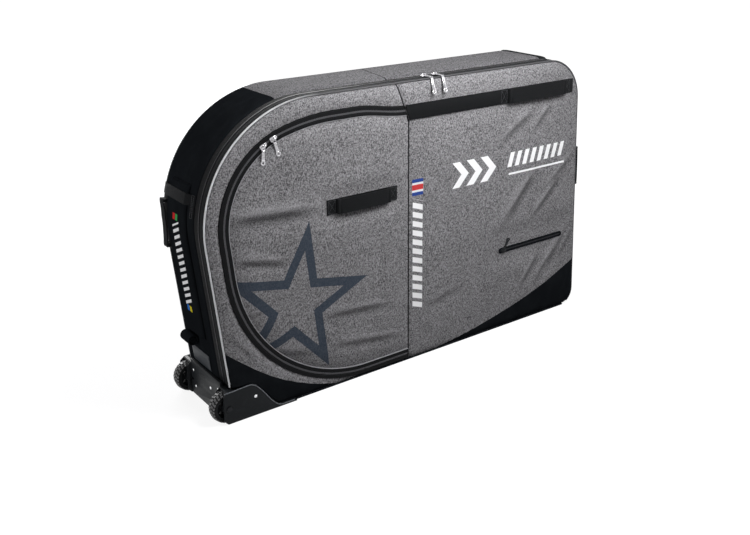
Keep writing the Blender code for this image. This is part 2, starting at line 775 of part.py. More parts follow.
def make_inner_frame():
    """The base board and the two bent rods that keep the gusset in shape."""
    left_x = WHEEL_X + WELL_RADIUS + WELL_WALL + SEAT + SEAM_GAP
    right_x = BAG.point(BAG_TOE).x
    board = slab((left_x, BOARD_FRONT_Y, BOARD_BOTTOM_Z), (right_x, GUSSET_REAR_Y - SEAT, BOARD_TOP_Z))
    add_object("base_board", board, LINING)
    inset = GUSSET_THICKNESS + SEAT + ROD_RADIUS
    start = right_station(ROD_START_Z)
    end = left_station(GUSSET_LOW_Z)
    depths = (GUSSET_FRONT_Y + ROD_EDGE_GAP, GUSSET_REAR_Y - ROD_EDGE_GAP)
    for name, y in zip(("front_stiffener", "rear_stiffener"), depths):
        section = []
        for side in range(ROD_SIDES):
            angle = FULL_TURN * side / ROD_SIDES
            section.append((inset + ROD_RADIUS * math.cos(angle), y + ROD_RADIUS * math.sin(angle)))
        add_object(name, band_along(BAG, section, start, end), LINING, SMOOTH_EDGE)


def make_ties():
    """Two straps that stand on the base board, each with a slide buckle, to hold the frame."""
    low = BOARD_TOP_Z + SEAT
    for share, side in zip(TIE_SHARES, ("left", "right")):
        x = share * BAG_LENGTH
        top = low + TIE_HEIGHT
        outer = [(TIE_FRONT_Y, low), (TIE_FRONT_Y, top), (TIE_REAR_Y, top), (TIE_REAR_Y, low)]
        inner = [
            (TIE_REAR_Y - TIE_THICKNESS, low),
            (TIE_REAR_Y - TIE_THICKNESS, top - TIE_THICKNESS),
            (TIE_FRONT_Y + TIE_THICKNESS, top - TIE_THICKNESS),
            (TIE_FRONT_Y + TIE_THICKNESS, low),
        ]
        edges = (x - TIE_WIDTH / 2, x + TIE_WIDTH / 2)
        rings = [[Vector((edge, y, z)) for y, z in outer + inner] for edge in edges]
        add_object(side + "_tie_strap", skin(rings), BLACK_WEBBING)
        middle_y = TIE_FRONT_Y + TIE_THICKNESS / 2
        half = Vector((BUCKLE_WIDTH, BUCKLE_THICKNESS, BUCKLE_LENGTH)) / 2
        slot = Vector((TIE_WIDTH / 2 + SEAT, TIE_THICKNESS / 2 + SEAT, BUCKLE_LENGTH))
        middle = Vector((x, middle_y, BUCKLE_Z))
        buckle = add_object(side + "_tie_buckle", slab(middle - half, middle + half), MOULDED)
        cut(buckle, helper(side + "_buckle_slot", slab(middle - slot, middle + slot)))


# Wheel end

def make_wheel_end():
    """The sleeve, fold, cross strap, strap patch and skid on the end that has the wheels."""
    def layer(name, bottom_z, top_z, stops, thickness, finish):
        section = layer_section(stops, thickness)
        add_object(name, band_along(BAG, section, left_station(top_z), left_station(bottom_z)), finish)

    sleeve_stops = [(SLEEVE_FRONT_Y, 0.0), (SLEEVE_REAR_Y, 0.0)]
    layer("end_sleeve", SLEEVE_BOTTOM_Z, SLEEVE_TOP_Z, sleeve_stops, SLEEVE_THICKNESS, BLACK_FABRIC)
    over = SLEEVE_THICKNESS + SEAT
    ramp_end_y = GUSSET_REAR_Y - GUSSET_RAMP
    strap_stops = [
        (CROSS_STRAP_FRONT_Y, 0.0),
        (SLEEVE_FRONT_Y - WEBBING_THICKNESS - SEAT, over),
        (SLEEVE_REAR_Y + WEBBING_THICKNESS + SEAT, over),
        (ramp_end_y + WEBBING_THICKNESS, WEBBING_THICKNESS),
        (CROSS_STRAP_REAR_Y, 0.0),
    ]
    top_z = CROSS_STRAP_BOTTOM_Z + CROSS_STRAP_HEIGHT
    layer("cross_strap", CROSS_STRAP_BOTTOM_Z, top_z, strap_stops, WEBBING_THICKNESS, BLACK_WEBBING)
    patch_rear = CROSS_STRAP_FRONT_Y - SEAT
    patch_stops = [(GUSSET_FRONT_Y + SEAT, 0.0), (patch_rear, 0.0)]
    patch_top = STRAP_PATCH_BOTTOM_Z + STRAP_PATCH_HEIGHT
    layer("strap_patch", STRAP_PATCH_BOTTOM_Z, patch_top, patch_stops, WEBBING_THICKNESS, BLACK_WEBBING)
    skid_stops = [(SLEEVE_FRONT_Y, 0.0), (SLEEVE_REAR_Y, 0.0)]
    layer("end_skid", SKID_BOTTOM_Z, SKID_TOP_Z, skid_stops, SKID_THICKNESS, MOULDED)

    centre_z = SLEEVE_BOTTOM_Z - FOLD_RADIUS - SEAT
    lift = GUSSET_CROWN + SEAT + FOLD_RADIUS
    centre = BAG.point(left_station(centre_z), -lift)
    wall = SLEEVE_THICKNESS / 2
    profile = [
        (FOLD_RADIUS, FOLD_FRONT_Y), (FOLD_RADIUS, FOLD_REAR_Y),
        (FOLD_RADIUS - wall, FOLD_REAR_Y), (FOLD_RADIUS - wall, FOLD_FRONT_Y),
    ]
    fold = turned(profile, flat_point(centre, 0), 2 * FOLD_SIDES)
    add_object("sleeve_fold", fold, BLACK_FABRIC, SMOOTH_EDGE)


# Moulded housing and wheels

def make_housing():
    """The corner shell: two wavy cheeks, an end wall, a floor and two wheel wells, in one moulding."""
    low = HOUSING_LIFT
    cheek = cheek_points(0.0, low) + [
        (CHEEK_END_X + CHEEK_CORNER, low),
        (CHEEK_END_X, low + CHEEK_CORNER),
        (CHEEK_END_X, CHEEK_LEFT_HEIGHT - CHEEK_CORNER),
    ]
    housing = add_object("corner_housing", prism(cheek, -CHEEK_OUTER_Y, CHEEK_OUTER_Y), MOULDED, SMOOTH_EDGE)
    gap = slab((CHEEK_END_X - OVERRUN, -WELL_BACK_Y, -OVERRUN), (HOUSING_END_X, WELL_BACK_Y, BAG_HEIGHT))
    cut(housing, helper("end_gap_tool", gap))
    lip_y = WELL_BACK_Y + WELL_WALL / 2
    lip_low = END_WALL_HEIGHT - END_LIP_DEPTH
    lip = slab((HOUSING_END_X - SEAT, -lip_y, lip_low), (WHEEL_X + WHEEL_RADIUS, lip_y, END_WALL_HEIGHT))
    join(housing, helper("end_lip_tool", lip))

    ring = [flat_ring_point(point) for point in BAG.ring(-GUSSET_CROWN - SEAT, 0)]
    inside = helper("inside_tool", prism(ring, -CHEEK_INNER_Y, CHEEK_INNER_Y))
    floor = slab((-BAG_LENGTH, -BAG_DEPTH, -OVERRUN), (BAG_LENGTH, BAG_DEPTH, HOUSING_FLOOR_Z))
    cut(inside, helper("inside_floor_tool", floor))
    for side, name in ((-1, "front"), (1, "rear")):
        block = arch_points(WELL_RADIUS + WELL_WALL, CHEEK_END_X - OVERRUN, -2 * OVERRUN)
        cut(inside, helper(name + "_well_block", prism(block, *depth_range(side, WELL_BACK_Y, BAG_DEPTH))))
    cut(housing, inside)
    for side, name in ((-1, "front"), (1, "rear")):
        well = arch_points(WELL_RADIUS, CHEEK_END_X - OVERRUN, -OVERRUN)
        recess = prism(well, *depth_range(side, WELL_INNER_Y, CHEEK_INNER_Y + SEAT))
        ends = [axle_point(side * y) for y in (WELL_BACK_Y - OVERRUN, CHEEK_OUTER_Y + OVERRUN)]
        bore = rod(ends[0], ends[1], AXLE_RADIUS + SEAT, 2 * CHEEK_STEPS)
        cut(housing, helper(name + "_well_tool", recess), helper(name + "_axle_bore", bore))


def axle_point(y):
    return Vector((WHEEL_X, y, WHEEL_RADIUS))


def spindle(stops, segments):
    """A solid turned about the axle line through (y, radius) stops."""
    rings = []
    for y, radius in stops:
        angles = [FULL_TURN * step / segments for step in range(segments)]
        middle = axle_point(y)
        rings.append([middle + radius * Vector((math.cos(a), 0, math.sin(a))) for a in angles])
    return skin(rings)


def tyre_mesh(side):
    """A solid rubber tyre with square lugs across its tread."""
    inner = WHEEL_RADIUS - TYRE_DEPTH
    edges = (side * WHEEL_INNER_Y, side * WHEEL_OUTER_Y)
    low, high = sorted(edges)
    rings = []
    for step in range(TREAD_COUNT * LUG_STEPS):
        angle = FULL_TURN * step / (TREAD_COUNT * LUG_STEPS)
        crown = WHEEL_RADIUS if 2 * (step % LUG_STEPS) < LUG_STEPS else WHEEL_RADIUS - TREAD_DEPTH
        shoulder = WHEEL_RADIUS - TYRE_SHOULDER
        profile = [(inner, low), (shoulder, low), (crown, low + TYRE_SHOULDER)]
        profile += [(crown, high - TYRE_SHOULDER), (shoulder, high), (inner, high)]
        ray = Vector((math.cos(angle), 0, math.sin(angle)))
        rings.append([axle_point(y) + radius * ray for radius, y in profile])
    return skin(rings, joined=True)


def make_wheel(side, name):
    """A wheel: tyre, spoked hub, bearing sleeve and the bolt that carries it."""
    centre = axle_point(side * (WHEEL_INNER_Y + WHEEL_OUTER_Y) / 2)
    half = WHEEL_WIDTH / 2
    tyre = add_object(name + "_tyre", tyre_mesh(side), RUBBER, SMOOTH_EDGE)
    rim = WHEEL_RADIUS - TYRE_DEPTH - SEAT
    boss = BEARING_RADIUS + HUB_BOSS_DEPTH
    bore = BEARING_RADIUS + SEAT
    web = HUB_WEB_THICKNESS / 2
    rim_half = half - TREAD_DEPTH
    profile = [(bore, -half), (boss, -half), (boss, -web), (rim - HUB_RIM_DEPTH, -web)]
    profile += [(rim - HUB_RIM_DEPTH, -rim_half), (rim, -rim_half)]
    profile += [(radius, -y) for radius, y in reversed(profile)]
    profile = [(radius, centre.y + y) for radius, y in profile]
    hub = add_object(name + "_hub", turned(profile, centre, WHEEL_SEGMENTS), MOULDED, SMOOTH_EDGE)
    window_ring = (boss + rim - HUB_RIM_DEPTH) / 2
    for index in range(SPOKE_COUNT):
        angle = FULL_TURN * index / SPOKE_COUNT
        place = centre + window_ring * Vector((math.cos(angle), 0, math.sin(angle)))
        across = Vector((0, half, 0))
        window = rod(place - across, place + across, WINDOW_RADIUS, CHEEK_STEPS)
        cut(hub, helper(name + "_window_" + str(index), window))
    sleeve = [(AXLE_RADIUS + SEAT, centre.y - half), (BEARING_RADIUS, centre.y - half)]
    sleeve += [(BEARING_RADIUS, centre.y + half), (AXLE_RADIUS + SEAT, centre.y + half)]
    bearing = add_object(name + "_bearing", turned(sleeve, centre, WHEEL_SEGMENTS), STEEL, SMOOTH_EDGE)
    for piece in (tyre, hub, bearing):
        on_axis(piece, centre)
    outer = side * (CHEEK_OUTER_Y + SEAT)
    head = side * (CHEEK_OUTER_Y + SEAT + AXLE_HEAD_THICKNESS)
    inner = side * (WELL_BACK_Y - AXLE_HEAD_THICKNESS)
    stops = [(head, AXLE_HEAD_RADIUS), (outer, AXLE_HEAD_RADIUS), (outer, AXLE_RADIUS), (inner, AXLE_RADIUS)]
    add_object(name + "_axle", spindle(stops, CHEEK_STEPS * 2), STEEL, SMOOTH_EDGE)


# Pocket flap, its zip and the wheel pocket

def make_flap():
    """The flap over the wheel pocket, the two halves of its zip, and the pocket's lining."""
    back = -PIPING_Y - (PANEL_THICKNESS - FLAP_TAPE_DEPTH)
    slab_ring = [FLAP.ring(FLAP_TAPE_WIDTH + SEAM_GAP, y) for y in (-FACE_Y, -PIPING_Y)]
    add_object("flap_panel", skin(slab_ring), GREY_FABRIC)
    tape_face = -FACE_Y + TOOTH_HEIGHT
    start = FLAP.find(0, SEAM_X - FLAP_ZIP_END_GAP, FLAP_TOP_CORNER, FLAP_TOP_CORNER + 1)
    end = FLAP.find(0, SEAM_X - FLAP_ZIP_END_GAP, FLAP_LAST - ARC_SHARE, FLAP_LAST + ARC_SHARE)
    for name, way in (("flap_zip_tape", 1), ("cover_zip_tape", -1)):
        section = [
            (way * CHAIN_GAP / 2, back),
            (way * (FLAP_TAPE_WIDTH - SEAT), back),
            (way * (FLAP_TAPE_WIDTH - SEAT), tape_face),
            (way * (CHAIN_GAP / 2 + TOOTH_WIDTH), tape_face),
            (way * (CHAIN_GAP / 2 + TOOTH_WIDTH), -FACE_Y),
            (way * CHAIN_GAP / 2, -FACE_Y),
        ]
        add_object(name, band_along(FLAP, section, start, end), ZIP_TAPE)

    front = -(PIPING_Y - SEAT)
    rear = front + POCKET_DEPTH
    mouth = FLAP_TAPE_WIDTH
    wall = mouth + LINER_THICKNESS
    flange = wall + LINER_FLANGE
    stops = [
        (wall, rear), (wall, front + LINER_THICKNESS), (flange, front + LINER_THICKNESS),
        (flange, front), (mouth, front), (mouth, rear - LINER_THICKNESS),
    ]
    liner = add_object("wheel_pocket_liner", skin([FLAP.ring(-out, y) for out, y in stops]), LINING)
    trim = slab((-BAG_LENGTH, -BAG_DEPTH, -BAG_HEIGHT), (BAG_LENGTH, BAG_DEPTH, COVER_BOTTOM_Z))
    cut(liner, helper("liner_trim_tool", trim))


# Handles of webbing

def make_handle(base_name, grip_name, frame, span, width, tails):
    """A webbing strap with two stitched anchors and a raised grip between them.

    The frame's origin is at the grip's start on the surface, on the grip's hinged edge. X runs along
    the grip and Z looks out. Tails are how far the strap runs on past each anchor.
    """
    rise = WEBBING_THICKNESS + FINGER_GAP + GRIP_THICKNESS
    low = SEAT
    start_tail, end_tail = tails
    outline = [
        (-ANCHOR_LENGTH - start_tail, low),
        (span + ANCHOR_LENGTH + end_tail, low),
        (span + ANCHOR_LENGTH + end_tail, low + WEBBING_THICKNESS),
        (span + ANCHOR_LENGTH, low + WEBBING_THICKNESS),
        (span + ANCHOR_LENGTH, low + rise),
        (span, low + rise),
        (span, low + WEBBING_THICKNESS),
        (0.0, low + WEBBING_THICKNESS),
        (0.0, low + rise),
        (-ANCHOR_LENGTH, low + rise),
        (-ANCHOR_LENGTH, low + WEBBING_THICKNESS),
        (-ANCHOR_LENGTH - start_tail, low + WEBBING_THICKNESS),
    ]
    base = skin([[Vector((x, y, z)) for x, z in outline] for y in (0.0, -width)])
    add_object(base_name, placed(base, frame), BLACK_WEBBING)
    under = low + WEBBING_THICKNESS + FINGER_GAP
    grip = slab((SEAT, -width, under), (span - SEAT, 0.0, low + rise))
    made = add_object(grip_name, placed(grip, frame), BLACK_WEBBING)
    on_axis(made, frame @ Vector((0.0, 0.0, under + GRIP_THICKNESS / 2)))


def make_handles():
    """The carry handle on the flap, the one in the band, and the two on the ends."""
    left = Vector((1, 0, 0))
    front = Vector((0, -1, 0))
    top = CARRY_HANDLE_Z + CARRY_HANDLE_HEIGHT
    frame = local_frame(Vector((CARRY_GRIP_X, -FACE_Y, top)), left, front)
    tail = CARRY_GRIP_X - CARRY_HANDLE_X - ANCHOR_LENGTH
    size = (CARRY_GRIP_LENGTH, CARRY_HANDLE_HEIGHT)
    make_handle("carry_handle_base", "carry_handle_grip", frame, *size, (tail, tail))

    top = BAND_BOTTOM_Z + BAND_HEIGHT
    frame = local_frame(Vector((BAND_GRIP_X, -FACE_Y, top)), left, front)
    start = SEAM_X + BAND_START_GAP
    right_edge = BAG.point(right_station(top)).x - BAND_END_GAP
    grip_end = BAND_GRIP_X + BAND_GRIP_LENGTH
    tails = (BAND_GRIP_X - start - ANCHOR_LENGTH, right_edge - grip_end - ANCHOR_LENGTH)
    make_handle("webbing_band", "band_grip", frame, BAND_GRIP_LENGTH, BAND_HEIGHT, tails)

    rear_y = GUSSET_REAR_Y - GUSSET_RAMP - END_HANDLE_EDGE_GAP
    make_end_handle("wheel_end", left_station, END_HANDLE_BOTTOM_Z, rear_y, rear_y - END_HANDLE_WIDTH)
    front_y = RIM_FRONT_Y + END_HANDLE_EDGE_GAP
    free_y = CHAIN_Y - TOOTH_WIDTH - END_HANDLE_EDGE_GAP
    make_end_handle("plain_end", right_station, RIGHT_HANDLE_BOTTOM_Z, front_y, free_y)


def make_end_handle(name, station_of, bottom_z, hinge_y, free_y):
    """A handle that lies along an end of the bag and swings about its edge at hinge_y."""
    top_z = bottom_z + END_HANDLE_LENGTH
    depths = sorted((hinge_y, free_y))

    def layer(low_z, high_z, lift, thickness):
        section = layer_section([(y, lift) for y in depths], thickness)
        return band_along(BAG, section, *sorted((station_of(low_z), station_of(high_z))))

    reach = ANCHOR_LENGTH + END_TAIL_LENGTH
    base = layer(bottom_z - reach, top_z + reach, 0.0, WEBBING_THICKNESS)
    base = add_object(name + "_handle_base", base, BLACK_WEBBING)
    root = WEBBING_THICKNESS / 2
    for low_z in (bottom_z - ANCHOR_LENGTH, top_z):
        anchor = layer(low_z, low_z + ANCHOR_LENGTH, root, root + END_FINGER_GAP + GRIP_THICKNESS)
        join(base, helper(name + "_anchor", anchor))
    under = WEBBING_THICKNESS + END_FINGER_GAP
    grip = layer(bottom_z + GRIP_END_GAP, top_z - GRIP_END_GAP, under, GRIP_THICKNESS)
    middle = gusset_height(hinge_y) + SEAT + under + GRIP_THICKNESS / 2
    hinge = flat_point(BAG.point(station_of(bottom_z), -middle), hinge_y)
    on_axis(add_object(name + "_grip", grip, BLACK_WEBBING), hinge)


# Zip sliders and pulls

def make_slider(name, seat, travel, out, link_way, reach):
    """A slider with a two-bar link that reaches to a pin; returns the middle of the pin.

    The seat is the point on the teeth under the slider's middle.
    """
    frame = local_frame(seat, travel, out)
    half = SLIDER_LENGTH / 2
    nose = SLIDER_NOSE_WIDTH / 2
    side = SLIDER_WIDTH / 2
    plan = [(-half, -nose), (0.0, -side), (half, -side), (half, side), (0.0, side), (-half, nose)]
    block = skin([[Vector((x, y, z)) for x, y in plan] for z in (SEAT, SEAT + SLIDER_HEIGHT)])
    slider = on_axis(add_object(name + "_slider", placed(block, frame), NICKEL), seat)

    pin = seat + link_way * reach + out * (SEAT + SLIDER_HEIGHT - EAR_THICKNESS / 2)
    offset = PULL_EYE_WIDTH / 2 + SEAT + EAR_THICKNESS / 2
    link_side = link_way.cross(out).normalized()
    for way in (-1, 1):
        bar_frame = local_frame(pin + link_side * way * offset, -link_way, out)
        thick = EAR_THICKNESS / 2
        bar = slab((-EAR_THICKNESS, -thick, -thick), (reach, thick, thick))
        join(slider, helper(name + "_bar", placed(bar, bar_frame)))
    ends = [pin + link_side * way * offset for way in (-1, 1)]
    join(slider, helper(name + "_pin", rod(ends[0], ends[1], PIN_RADIUS, CHEEK_STEPS)))
    return pin


def make_pull(name, pin, hang, out, length):
    """The pull that hangs from a slider's pin and looks out."""
    frame = local_frame(pin, hang, out)
    eye = PULL_EYE_WIDTH / 2
    knuckle_radius = PIN_RADIUS + 2 * PIN_CLEARANCE + PULL_THICKNESS / 4
    knuckle = rod(Vector((0, -eye, 0)), Vector((0, eye, 0)), knuckle_radius, 2 * PULL_STEPS)
    pull = on_axis(add_object(name + "_pull", placed(knuckle, frame), NICKEL), pin)
    wide = PULL_WIDTH / 2
    neck = PULL_EYE_WIDTH
    eye -= PIN_CLEARANCE / 2
    outline = [(PIN_RADIUS, -eye), (neck, -eye), (neck + PULL_WIDTH, -wide)]
    for step in range(PULL_STEPS + 1):
        angle = -QUARTER_TURN + math.pi * step / PULL_STEPS
        outline.append((length - wide + wide * math.cos(angle), wide * math.sin(angle)))
    outline += [(neck + PULL_WIDTH, wide), (neck, eye), (PIN_RADIUS, eye)]
    thick = PULL_THICKNESS / 2
    plate = skin([[Vector((x, y, z)) for x, y in outline] for z in (-thick, thick)])
    join(pull, helper(name + "_plate", placed(plate, frame)))
    across = Vector((0, PULL_WIDTH, 0))
    bore = rod(-across, across, PIN_RADIUS + PIN_CLEARANCE, 2 * PULL_STEPS)
    cut(pull, helper(name + "_bore", placed(bore, frame)))


def make_sliders():
    """Two sliders on the main zip, two on the flap's zip and one on the small pocket."""
    along = Vector((1, 0, 0))
    up = Vector((0, 0, 1))
    front = Vector((0, -1, 0))
    hang = Vector((0, -math.sin(MAIN_PULL_LEAN), -math.cos(MAIN_PULL_LEAN)))
    outward = Vector((0, -math.cos(MAIN_PULL_LEAN), math.sin(MAIN_PULL_LEAN)))
    for seam_gap, name in zip(MAIN_SLIDER_SEAM_GAPS, ("main_left", "main_right")):
        seat = Vector((SEAM_X + seam_gap, CHAIN_Y + CHAIN_GAP / 2, TOP_Z + TOOTH_HEIGHT))
        pin = make_slider(name, seat, along, up, front, MAIN_LINK_REACH)
        make_pull(name, pin, hang, outward, MAIN_PULL_LENGTH)

    centre, radius, start, turn = FLAP.fillet(FLAP_NOSE, 0.0)
    for angle, lean, name in zip(FLAP_SLIDER_ANGLES, FLAP_PULL_LEANS, ("flap_left", "flap_right")):
        ray = Vector((-math.sin(angle), 0, math.cos(angle)))
        seat = flat_point(centre, -FACE_Y) + radius * ray
        travel = Vector((-ray.z, 0, ray.x))
        way = Vector((math.sin(lean), 0, -math.cos(lean)))
        pin = make_slider(name, seat, travel, front, way, FLAP_LINK_REACH)
        make_pull(name, pin, way, front, SIDE_PULL_LENGTH)

    y = -(FACE_Y + SEAT + POCKET_ZIP_THICKNESS)
    strip = slab(
        (POCKET_ZIP_X, y, POCKET_ZIP_Z - POCKET_ZIP_HEIGHT / 2),
        (POCKET_ZIP_X + POCKET_ZIP_LENGTH, -(FACE_Y + SEAT), POCKET_ZIP_Z + POCKET_ZIP_HEIGHT / 2))
    add_object("pocket_zip", strip, ZIP_TAPE)
    way = Vector((math.sin(POCKET_PULL_LEAN), 0, -math.cos(POCKET_PULL_LEAN)))
    seat = Vector((POCKET_ZIP_X + SLIDER_LENGTH, y, POCKET_ZIP_Z))
    pin = make_slider("pocket", seat, along, front, way, FLAP_LINK_REACH)
    make_pull("pocket", pin, way, front, SIDE_PULL_LENGTH)


# What moves together

COVER_PIECES = (
    "left_panel", "left_corner_patch", "right_panel", "right_corner_patch", "front_piping", "zip_rim",
    "cover_zip_tape", "wheel_pocket_liner", "webbing_band", "band_grip", "pocket_zip", "pocket_slider",
    "plain_end_handle_base", "plain_end_grip",
)
FLAP_PIECES = ("flap_panel", "flap_zip_tape", "carry_handle_base", "carry_handle_grip")
PULLED_NAMES = ("main_left", "main_right", "flap_left", "flap_right", "pocket")


def carry(holder, names):
    """Parents pieces to what carries them and leaves them where they are."""
    bpy.context.view_layer.update()
    for name in names:
        piece = bpy.data.objects[name]
        piece.parent = holder
        piece.matrix_parent_inverse = holder.matrix_world.inverted()


def pivot(name, place):
    """An empty on a joint's axis, for the pieces that turn about it."""
    made = bpy.data.objects.new(name, None)
    made.location = place
    bpy.context.scene.collection.objects.link(made)
    return made


def join_bodies():
    """Hangs the cover, the flap and each zip pull on the axis or the slider that carries it."""
    cover = pivot("cover_hinge_line", Vector((0, -FACE_Y, COVER_BOTTOM_Z)))
    carry(cover, COVER_PIECES)
    flap = pivot("flap_hinge_line", Vector((SEAM_X, -FACE_Y, 0)))
    carry(flap, FLAP_PIECES)
    carry(cover, (flap.name,))
    for name in PULLED_NAMES:
        carry(bpy.data.objects[name + "_slider"], (name + "_pull",))


def clear_scene():
    for old in list(bpy.data.objects):
        bpy.data.objects.remove(old)


def main():
    clear_scene()
    cutters = make_cutters()
    make_faces(cutters)
    make_piping()
    make_strips()
    make_inner_frame()
    make_ties()
    make_wheel_end()
    make_housing()
    make_wheel(-1, "front")
    make_wheel(1, "rear")
    make_flap()
    make_handles()
    make_sliders()
    join_bodies()
    bpy.context.view_layer.update()


main()
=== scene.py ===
"""Looks of a soft travel bag for a bicycle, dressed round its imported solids.

Metres, +Z up. +X runs along the length with the wheels at -X, and the face with the star looks to -Y.
"""

import json
import logging
import math
from collections.abc import Callable, Iterator, Mapping, Sequence
from dataclasses import dataclass
from enum import Enum

import bmesh
import bpy
from mathutils import Matrix, Vector, noise


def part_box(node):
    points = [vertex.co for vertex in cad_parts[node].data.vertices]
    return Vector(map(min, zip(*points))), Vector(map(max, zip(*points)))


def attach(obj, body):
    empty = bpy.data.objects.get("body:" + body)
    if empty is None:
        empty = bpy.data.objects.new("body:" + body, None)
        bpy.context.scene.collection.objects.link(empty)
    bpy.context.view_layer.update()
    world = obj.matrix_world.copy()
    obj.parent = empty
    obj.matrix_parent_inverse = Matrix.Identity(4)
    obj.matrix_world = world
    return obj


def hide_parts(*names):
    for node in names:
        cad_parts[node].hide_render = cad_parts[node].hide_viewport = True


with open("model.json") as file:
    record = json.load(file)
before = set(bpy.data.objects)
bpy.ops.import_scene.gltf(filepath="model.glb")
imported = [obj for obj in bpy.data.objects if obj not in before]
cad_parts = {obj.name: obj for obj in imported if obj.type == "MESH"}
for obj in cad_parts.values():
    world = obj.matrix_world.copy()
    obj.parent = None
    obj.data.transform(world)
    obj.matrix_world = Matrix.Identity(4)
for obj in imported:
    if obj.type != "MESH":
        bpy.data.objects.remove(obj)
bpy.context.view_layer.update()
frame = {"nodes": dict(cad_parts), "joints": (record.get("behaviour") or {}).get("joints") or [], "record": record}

log = logging.getLogger("bag")

FULL_TURN = 2 * math.pi
TINY = 1e-5
SEARCH_STEPS = 40
MERGE_DISTANCE = 2e-5
SMOOTH_ANGLE = math.radians(38)
TOOTH_ANGLE = math.radians(20)
METAL_ANGLE = math.radians(50)
BEVEL_ANGLE = math.radians(25)
FLAT_ANGLE = math.radians(1)

Point = tuple[float, float]
Colour = tuple[float, float, float]


def srgb(red: int, green: int, blue: int) -> Colour:
    """Turns a colour given in 0 to 255 screen values into linear shares."""
    shares = [level / 255 for level in (red, green, blue)]
    return tuple(s / 12.92 if s <= 0.04045 else ((s + 0.055) / 1.055) ** 2.4 for s in shares)


def clamped(value: float) -> float:
    """The value kept from 0 to 1."""
    return min(1.0, max(0.0, value))


def ease(value: float, low: float, high: float) -> float:
    """A smooth rise from 0 at low to 1 at high."""
    share = clamped((value - low) / (high - low))
    return share * share * (3 - 2 * share)


def bell(distance: float, width: float) -> float:
    """A smooth hump of height 1 that has faded at about twice its width."""
    return math.exp(-(distance / width) ** 2)


def quarter_round(share: float) -> float:
    """The height of a quarter circle, at a share of its width from the low end."""
    return math.sqrt(1 - (1 - share) ** 2)


def bunched(low: float, high: float, count: int) -> list[float]:
    """Places from low to high, closer together at both ends."""
    return [low + (high - low) * (1 - math.cos(math.pi * step / count)) / 2 for step in range(count + 1)]


def axes_at(origin: Vector, along: Vector, out: Vector) -> Matrix:
    """The place of a thing whose X runs along one direction and whose Z looks out along another.

    Args:
        origin: Where its own origin lies.
        along, out: The two directions, square to each other.

    Returns:
        The matrix from its own axes to the frame's.
    """
    made = Matrix((along, out.cross(along).normalized(), out)).transposed().to_4x4()
    made.translation = origin
    return made


def box_distance(x: float, z: float, low: Point, high: Point) -> float:
    """How far a point of the face lies outside a rectangle of it.

    Args:
        x, z: The point.
        low, high: Opposite corners of the rectangle.

    Returns:
        The distance, 0 inside.
    """
    across = max(low[0] - x, 0.0, x - high[0])
    up = max(low[1] - z, 0.0, z - high[1])
    return math.hypot(across, up)


class Axis(Enum):
    """A direction of the frame, as its index."""

    X = 0
    Y = 1
    Z = 2


@dataclass(frozen=True)
class Corner:
    """A corner of an outline in the XZ plane and the radius of its fillet."""

    x: float
    z: float
    radius: float


@dataclass(frozen=True)
class Leg:
    """A straight run of an outline, or a round one where it has a centre."""

    start: Vector
    heading: Vector
    length: float
    centre: Vector | None = None
    radius: float = 0.0

    def at(self, distance: float) -> tuple[Vector, Vector]:
        """The point at a distance along the run, and the direction into the outline there.

        Args:
            distance: How far along.

        Returns:
            The point and the direction.
        """
        inward = Vector((-self.heading.y, self.heading.x))
        if self.centre is None:
            return self.start + self.heading * distance, inward
        turned = Matrix.Rotation(distance / self.radius, 2) @ inward
        return self.centre - turned * self.radius, turned

    def locate(self, point: Vector) -> tuple[float, float]:
        """How far along the run a point lies and how far inside it.

        Args:
            point: A point of the plane.

        Returns:
            The distance along and the inset.
        """
        if self.centre is None:
            away = point - self.start
            return away.dot(self.heading), self.heading.x * away.y - self.heading.y * away.x
        ray = point - self.centre
        first = self.start - self.centre
        angle = math.atan2(first.x * ray.y - first.y * ray.x, first.dot(ray))
        return angle * self.radius, self.radius - ray.length


